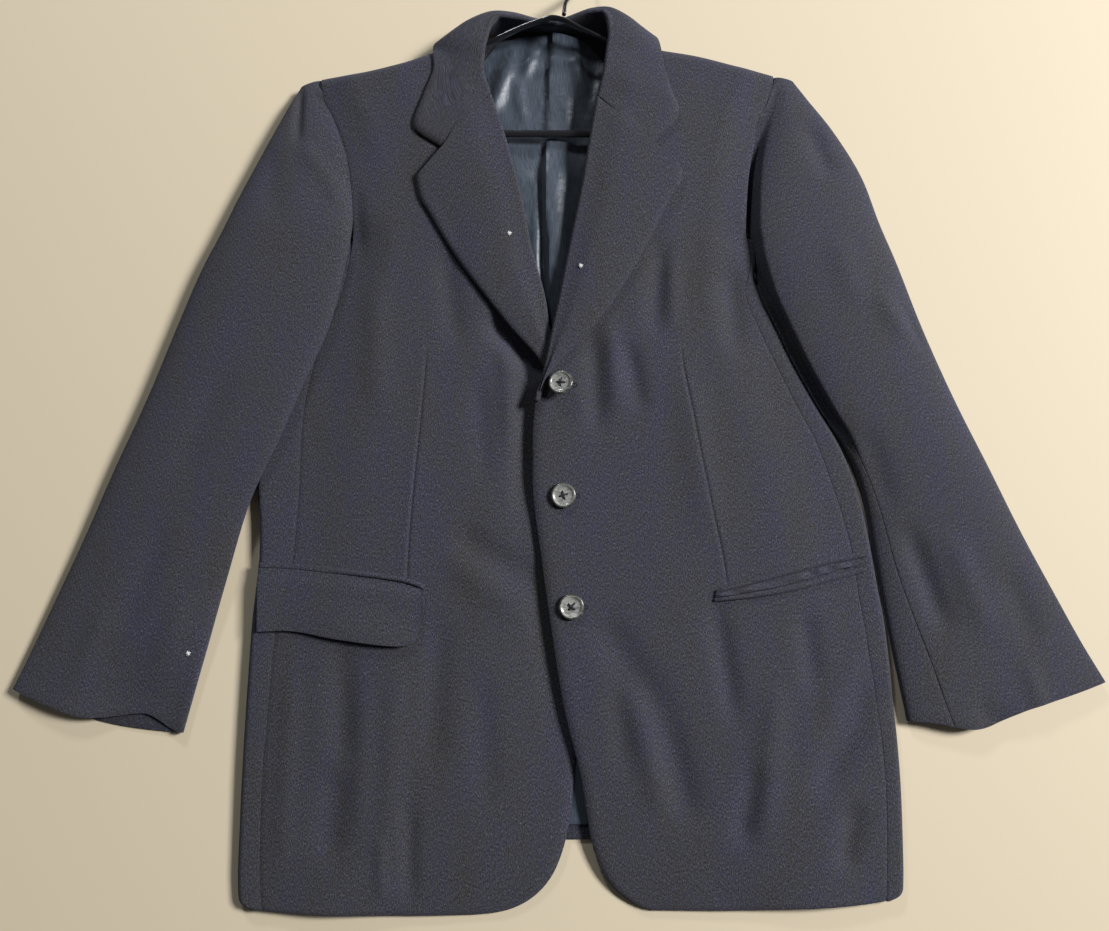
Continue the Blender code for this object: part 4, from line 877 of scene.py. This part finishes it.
def clothPiece(
    name, size, place, wall="wool", inward=-1.0, restsOn=(), beside=(), finish="wool", inside="woolInside",
    press=None, laidFrom=None, node=None,
):
    across, along = size
    thick = walls[wall]
    bm = bmesh.new()
    bmesh.ops.create_grid(bm, x_segments=across, y_segments=along, size=0.5)
    rows = {}
    for vert in bm.verts:
        i, j = round((vert.co.x + 0.5) * across), round((vert.co.y + 0.5) * along)
        rows[i, j] = vert
        vert.co = place(i / across, j / along)
    if laidFrom is not None:
        laid = [vert for (i, j), vert in rows.items() if i / across >= laidFrom]
        for vert in laid:
            under = heightOver([*restsOn, *beside], vert.co.x, vert.co.y)
            if under is not None:
                vert.co.z = max(vert.co.z, under + thick + gaps["laid"])
        bmesh.ops.smooth_vert(bm, verts=laid, factor=clothFinish["smooth"], use_axis_z=True)
    if press:
        for (i, j), vert in rows.items():
            vert.co.z += press(i / across, j / along)
    trees[name] = BVHTree.FromBMesh(bm)
    # flat places on the cut cloth: the way run across from the middle, and down from the first row
    run, down = ({key: 0.0 for key in rows} for _ in range(2))
    for i, j in sorted(rows):
        if i:
            run[i, j] = run[i - 1, j] + (rows[i, j].co - rows[i - 1, j].co).length
        if j:
            down[i, j] = down[i, j - 1] + (rows[i, j].co - rows[i, j - 1].co).length
    flatAt = {vert: ((run[i, j] - run[across // 2, j]) * mm, down[i, j] * mm) for (i, j), vert in rows.items()}
    uvLayer = bm.loops.layers.uv.new("cloth")
    for face in bm.faces:
        face.smooth = True
        for loop in face.loops:
            loop[uvLayer].uv = flatAt[loop.vert]
    area = sum(face.calc_area() for face in bm.faces) * mm * mm
    if inward > 0.0:
        bmesh.ops.reverse_faces(bm, faces=bm.faces[:])
    toFrame(bm)
    piece = meshObject(name, bm)
    for key in (finish, inside):
        piece.data.materials.append(finishes[key])
    addModifier(
        piece, "wall", "SOLIDIFY", thickness=thick * mm, offset=-1.0, material_offset=1, material_offset_rim=0,
    )
    addModifier(
        piece, "edge", "BEVEL", width=clothFinish["edgeRound"] * mm, segments=clothFinish["edgeSteps"],
        limit_method="ANGLE", angle_limit=math.radians(clothFinish["sharp"]),
    )
    flat = tuple(max(max(lengths.values()) * mm, 0.01) for lengths in (run, down))
    area = clamp(area, 0.31 * flat[0] * flat[1], flat[0] * flat[1])
    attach(piece, "root")
    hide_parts(node or nodeOf(name))
    print("sheet", name, [round(number, 4) for number in (*flat, area)])


for side, word in sorted(hands.items()):
    clothPiece("back" + word, (20, 105), partial(backPoint, side), inward=side)
    clothPiece("side" + word, (30, 115), partial(sidePoint, side), inward=-side, restsOn=["back" + word])
clothPiece(
    "backLining", (110, 150), liningPoint, "lining", restsOn=["backLeft", "backRight"],
    finish="satin", inside="satin",
)
for side, name, below in ((-1, "frontUnder", "backLining"), (1, "frontOver", "frontUnder")):
    clothPiece(name, (84, 175), partial(frontPoint, side), inward=-side, inside="satin", restsOn=[below])
print("body pieces done")

leafForm = {"thick": 2.4, "rim": 5.0, "collarWidth": 70.0}  # how much thicker a leaf is away from its edge


def lapelPress(u, v):
    width = mix(20.0, 90.0, ease(v, 0.0, 0.9))
    return leafForm["thick"] * quarter((1.0 - u) * width / leafForm["rim"]) * ease(u, 0.26, 0.5)


def collarPress(u, v):
    leaf = quarter((1.0 - u) * leafForm["collarWidth"] / leafForm["rim"]) * ease(u, 0.48, 0.7)
    return leafForm["thick"] * leaf * (ease(v, 0.2, 0.08) + ease(v, 0.8, 0.92))


for side, name, below in ((-1, "lapelLeft", "frontUnder"), (1, "lapelRight", "frontOver")):
    clothPiece(
        name, (44, 96), partial(lapelPoint, side), "wool", -side, [below], press=lapelPress,
        laidFrom=lapelForm["turn"],
    )
clothPiece(
    "collar", (44, 160), collarPoint, "collar", restsOn=["frontUnder", "frontOver"],
    press=collarPress, laidFrom=hairpinTurn[1],
)
print("collar and lapels done")

for side, word in sorted(hands.items()):
    under = "underSleeve" + word
    clothPiece(
        "topSleeve" + word, (72, 126), partial(topSleevePoint, side), inward=side, inside="satin", restsOn=[under]
    )
    clothPiece(under, (40, 126), partial(underSleevePoint, side), inward=side)
print("sleeves done")


def flapPress(u, v):  # sunk at its seam, its lower edge curling up
    curl = pocketForm["flapCurl"] * ease(v, 0.35, 1.0) * bell(u - 0.34, 0.24)
    dip = pocketForm["seamDip"] * bell(v, 0.09) * ease(u, 0.0, 0.06) * (1.0 - 0.7 * ease(u, 0.35, 0.6))
    return curl + ease(v, 0.05, 0.25) - dip


def jetPress(u, v):  # a narrow roll
    return pocketForm["jetRoll"] * math.sqrt(math.sin(math.pi * clamp(v, 0.02, 0.98))) * ease(u, 0.0, 0.04)


def tuckedPress(u, v):  # puckered, its fold standing up beside the slit
    pucker = 1.2 * math.sin(31.0 * u + 2.0 * math.sin(9.0 * u)) * math.sin(math.pi * v)
    fold = pocketForm["slit"] * ease(v, 0.0, 0.8) * ease(u, 0.0, 0.04) * mix(0.6, 1.0, ease(u, 0.3, 0.9))
    return pucker + fold


def jetLeftPress(u, v):  # it flattens towards the side
    return jetPress(u, v) * (1.0 - 0.75 * ease(u, 0.35, 0.6))


clothPiece(
    "pocketFlap", (72, 30), flapPoint, "wool", -1.0, ["frontUnder"], ["sideLeft"], press=flapPress, laidFrom=0.0,
)
for name, node, rows, place, inward, below, beside, press in (
    ("jetLeft", "welt_left", 8, jetLeftPoint, -1.0, "frontUnder", "sideLeft", jetLeftPress),
    ("jetLower", "welt_lower_right", 10, partial(mouthPoint, 0.0, 0.28), 1.0, "frontOver", "sideRight", jetPress),
    ("tuckedFlap", "tucked_flap", 10, partial(mouthPoint, 0.3, 0.7), 1.0, "frontOver", "sideRight", tuckedPress),
    ("jetUpper", "welt_upper_right", 10, partial(mouthPoint, 0.72, 1.0), 1.0, "frontOver", "sideRight", jetPress),
):
    clothPiece(name, (72, rows), place, "trim", inward, [below], [beside], press=press, laidFrom=0.0, node=node)
print("pockets done")


def finishPiece(bm, name, finish, node=None):
    for face in bm.faces:
        face.smooth = True
    piece = meshObject(name, bm)
    piece.data.materials.append(finishes[finish])
    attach(piece, "root")
    if node:
        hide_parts(node)
    return piece


def sweptTube(bm, points, tall, wide, sides):
    # extrude an oval ring along the points, keeping it square to the line
    line = [Vector(p) for p in points]
    upright, ends = up, []
    for i, place in enumerate(line):
        tangent = (line[min(i + 1, len(line) - 1)] - line[max(i - 1, 0)]).normalized()
        if abs(tangent.dot(upright)) > 0.999:
            upright = Vector((1.0, 0.0, 0.0))
        upright = (upright - tangent * upright.dot(tangent)).normalized()
        turn = Matrix((upright, tangent.cross(upright), tangent)).transposed().to_4x4()
        matrix = Matrix.Translation(place) @ turn @ Matrix.Diagonal((tall, wide, 1.0, 1.0))
        ring = bmesh.ops.create_circle(bm, segments=sides, radius=1.0, matrix=matrix)["verts"]
        ends.append(list({edge for vert in ring for edge in vert.link_edges}))
        if i:
            bmesh.ops.bridge_loops(bm, edges=ends[-2] + ends[-1])
    for loop in (ends[0], ends[-1]):
        bmesh.ops.contextual_create(bm, geom=loop)
    bmesh.ops.recalc_face_normals(bm, faces=bm.faces[:])


def throughPoints(points, steps=6):  # a smooth line through the given points
    table = SmoothTable("s X Y Z", [(i, *p) for i, p in enumerate(points)])
    return [table.point(i / steps, "") for i in range((len(points) - 1) * steps + 1)]


for name, tall, wide, line in hangerRods:
    bm = bmesh.new()
    sweptTube(bm, throughPoints(line), tall, wide, 18)
    toFrame(bm)
    finishPiece(bm, name, "black_rod", nodeOf(name))
print("hanger done")

buttonForm = {
    "rim": 11.4, "thick": 3.4, "rimBand": 1.5,
    "eye": (0.95, 3.4, 9.0),  # radius, distance from the centre, depth of the cut
    "eyeRound": 0.18,
    "strand": (0.36, 0.42),   # half width, and distance from the middle between two eyes
    "shank": 1.7,
}


def buttonPiece(name, x, y, tilt, cross):
    turn = Matrix.Rotation(math.radians(-tilt), 3, Vector((0.6, 0.8, 0.0)))
    rim, thick = buttonForm["rim"], buttonForm["thick"]
    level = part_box(nodeOf(name))[1][2] / mm - thick
    if tilt:
        level += 0.4 - rim * math.sin(math.radians(tilt))
    centre = Vector((x, y, level))
    place = lambda spot: centre + turn @ spot
    profile = [
        (0.0, 0.0), (rim - 2.0, 0.0), (rim - 0.9, 0.35), (rim - 0.25, 1.0), (rim, 1.8), (rim - 0.2, 2.6),
        (rim - 0.8, 3.2), (rim - 1.6, thick), (rim - 2.3, thick - 0.15), (rim - 2.8, thick - 0.6),
        (rim - 3.3, thick - 1.0), (rim - 5.0, thick - 1.15), (0.0, thick - 1.2),
    ]
    bm = bmesh.new()
    verts = [bm.verts.new((r, 0.0, h)) for r, h in profile]
    edges = [bm.edges.new(pair) for pair in zip(verts, verts[1:])]
    bmesh.ops.spin(
        bm, geom=verts + edges, cent=(0, 0, 0), axis=(0, 0, 1), angle=2.0 * math.pi, steps=56, use_merge=True
    )
    bmesh.ops.remove_doubles(bm, verts=bm.verts, dist=0.001)
    bmesh.ops.recalc_face_normals(bm, faces=bm.faces[:])
    for face in bm.faces:  # the outer band is darker than the face, whose pale greys are painted highlight standing in for glare
        face.material_index = int(face.calc_center_median().xy.length > rim - buttonForm["rimBand"])
    toFrame(bm, place)
    button = finishPiece(bm, name, "horn", nodeOf(name))
    button.data.materials.append(finishes["rim"])
    eyes = bmesh.new()
    radius, eyeOut, deep = buttonForm["eye"]
    outwards = []
    for k in range(4):
        angle = math.pi * (0.25 + k / 2.0) + math.radians(cross)
        outwards.append(spoke(angle))
        bmesh.ops.create_cone(
            eyes, cap_ends=True, segments=20, radius1=radius, radius2=radius, depth=deep,
            matrix=Matrix.Translation(outwards[k] * eyeOut + up),
        )
    toFrame(eyes, place)
    cutter = meshObject(name + "Eyes", eyes)
    addModifier(button, "eyes", "BOOLEAN", operation="DIFFERENCE", solver="EXACT", object=cutter)
    bpy.context.view_layer.update()
    cut = bpy.data.meshes.new_from_object(button.evaluated_get(bpy.context.evaluated_depsgraph_get()))
    button.modifiers.clear()
    button.data = cut
    bpy.data.objects.remove(cutter, do_unlink=True)
    addModifier(
        button, "soft eyes", "BEVEL", width=buttonForm["eyeRound"] * mm, segments=2, limit_method="ANGLE",
        angle_limit=math.radians(50.0),
    )
    # the thread crosses between the eyes, two strands each way, and wraps into a shank
    thread = bmesh.new()
    half, apart = buttonForm["strand"]
    for k, reach in enumerate(outwards[:2]):
        beside = Vector((-reach.y, reach.x, 0.0))
        for strand in (-apart, apart):
            line = []
            for i in range(13):
                s = -1.0 + i / 6.0
                lift = 0.45 + 0.35 * (1.0 - s * s) + 0.25 * k
                drop = 2.6 * max(0.0, abs(s) - 0.84) / 0.16
                line.append(reach * s * (eyeOut + 0.3) + beside * strand + up * (thick - 1.1 + lift - drop))
            sweptTube(thread, line, half, half, 8)
    low = heightOver(["frontOver"], x, y) - level
    shank = buttonForm["shank"]
    sweptTube(thread, [(0.0, 0.0, low - 1.0), (0.0, 0.0, low * 0.5), (0.0, 0.0, 0.4)], shank, shank, 16)
    toFrame(thread, place)
    finishPiece(thread, name + "Thread", "thread")


for row in buttonPlaces:
    buttonPiece(*row)
print("buttons done")

holeForm = {"start": 3.0, "end": 13.5, "half": 1.4, "thread": 0.24, "stitches": 52}


def buttonhole(index, x, y):  # stitches side by side round a slit
    bm = bmesh.new()
    begin, end, half = x + holeForm["start"], x + holeForm["end"], holeForm["half"]
    straight, bend = end - begin, math.pi * half
    for k in range(holeForm["stitches"]):
        s = 2.0 * (straight + bend) * k / holeForm["stitches"]
        if s < straight:
            spot, out = Vector((begin + s, y - half)), Vector((0.0, -1.0))
        elif straight + bend <= s < 2.0 * straight + bend:
            spot, out = Vector((end - (s - straight - bend), y + half)), Vector((0.0, 1.0))
        else:
            far = s < straight + bend
            turned = (s - straight) / half if far else math.pi + (s - 2.0 * straight - bend) / half
            angle = turned - math.pi / 2.0
            out = spoke(angle).xy
            spot = Vector((end if far else begin, y)) + out * half
        level = heightOver(["frontOver"], spot.x, spot.y)
        line = [(*(spot + out * reach), level + lift) for reach, lift in ((-0.7, -0.1), (0.0, 0.35), (0.9, -0.1))]
        sweptTube(bm, line, holeForm["thread"], holeForm["thread"], 6)
    toFrame(bm)
    finishPiece(bm, f"buttonhole{index}", "wool")


for index, row in enumerate(buttonPlaces):
    buttonhole(index + 1, row[1], row[2])
print("buttonholes done")

lintPlaces = [
    ("lintLapelLeft", -42.0, 605.0, "lapelLeft"),
    ("lintLapelRight", 24.0, 573.0, "lapelRight"),
    ("lintSleeve", -325.0, 221.0, "topSleeveLeft"),
]
for name, x, y, below in lintPlaces:
    bm = bmesh.new()
    level = heightOver([below], x, y)
    for k in range(7):
        reach = 1.9 + 0.6 * math.sin(k * 1.7)
        line = [
            Vector((x, y, level + 0.3 + 0.35 * (1 - s * s))) + reach * s * spoke(k * 2.4 + s * 0.9)
            for s in (-1.0, -0.5, 0.0, 0.5, 1.0)
        ]
        sweptTube(bm, line, 0.34, 0.34, 5)
    toFrame(bm)
    finishPiece(bm, name, "lint")
print("lint done")

bm = bmesh.new()
bmesh.ops.create_grid(bm, x_segments=1, y_segments=1, size=3.0)
floor = meshObject("floor", bm)
floor.data.materials.append(newMaterial("paleFloor", {"Base Color": "#d6c9ac", "Roughness": 0.75}))

studio = {
    "sky": ("#eff0f4", 0.07),
    "lights": {  # name: place, aim, watts, width, colour
        "key": ((3.4, 1.0, 2.75), (0.0, 0.0, 0.0), 315.0, 1.1, "#f9f8fc"),
        "behind": ((-0.9, 2.6, 1.5), (0.0, 0.3, 0.0), 26.0, 0.4, "#f4f7ff"),
    },
}
world = bpy.data.worlds.new("studio")
bpy.context.scene.world = world
world.use_nodes = True
sky = world.node_tree.nodes["Background"].inputs
sky["Color"].default_value, sky["Strength"].default_value = srgb(studio["sky"][0]), studio["sky"][1]
for name, (place, aim, watts, width, colour) in studio["lights"].items():
    lamp = bpy.data.lights.new(name, "AREA")
    lamp.energy, lamp.size, lamp.color = watts, width, srgb(colour)[:3]
    lampObject = linkObject(name, lamp)
    lampObject.location = place
    lampObject.rotation_euler = (Vector(aim) - Vector(place)).to_track_quat("-Z", "Y").to_euler()

cameraView = {
    "place": (0.0, 275.0, 825.0), "tilt": 8.0, "sensor": 36.0,
    "focal": 900.0, "width": 1109.0,  # both in pixels
}
cameraData = bpy.data.cameras.new("photoCamera")
cameraData.sensor_width = cameraView["sensor"]
cameraData.lens = cameraView["sensor"] * cameraView["focal"] / cameraView["width"]
camera = linkObject("photoCamera", cameraData)
camera.location = Vector(cameraView["place"]) * mm + shift
camera.rotation_euler = (math.radians(cameraView["tilt"]), 0.0, 0.0)
bpy.context.scene.camera = camera
bpy.context.scene.view_settings.view_transform = "Standard"
print("floor, lights and camera done")
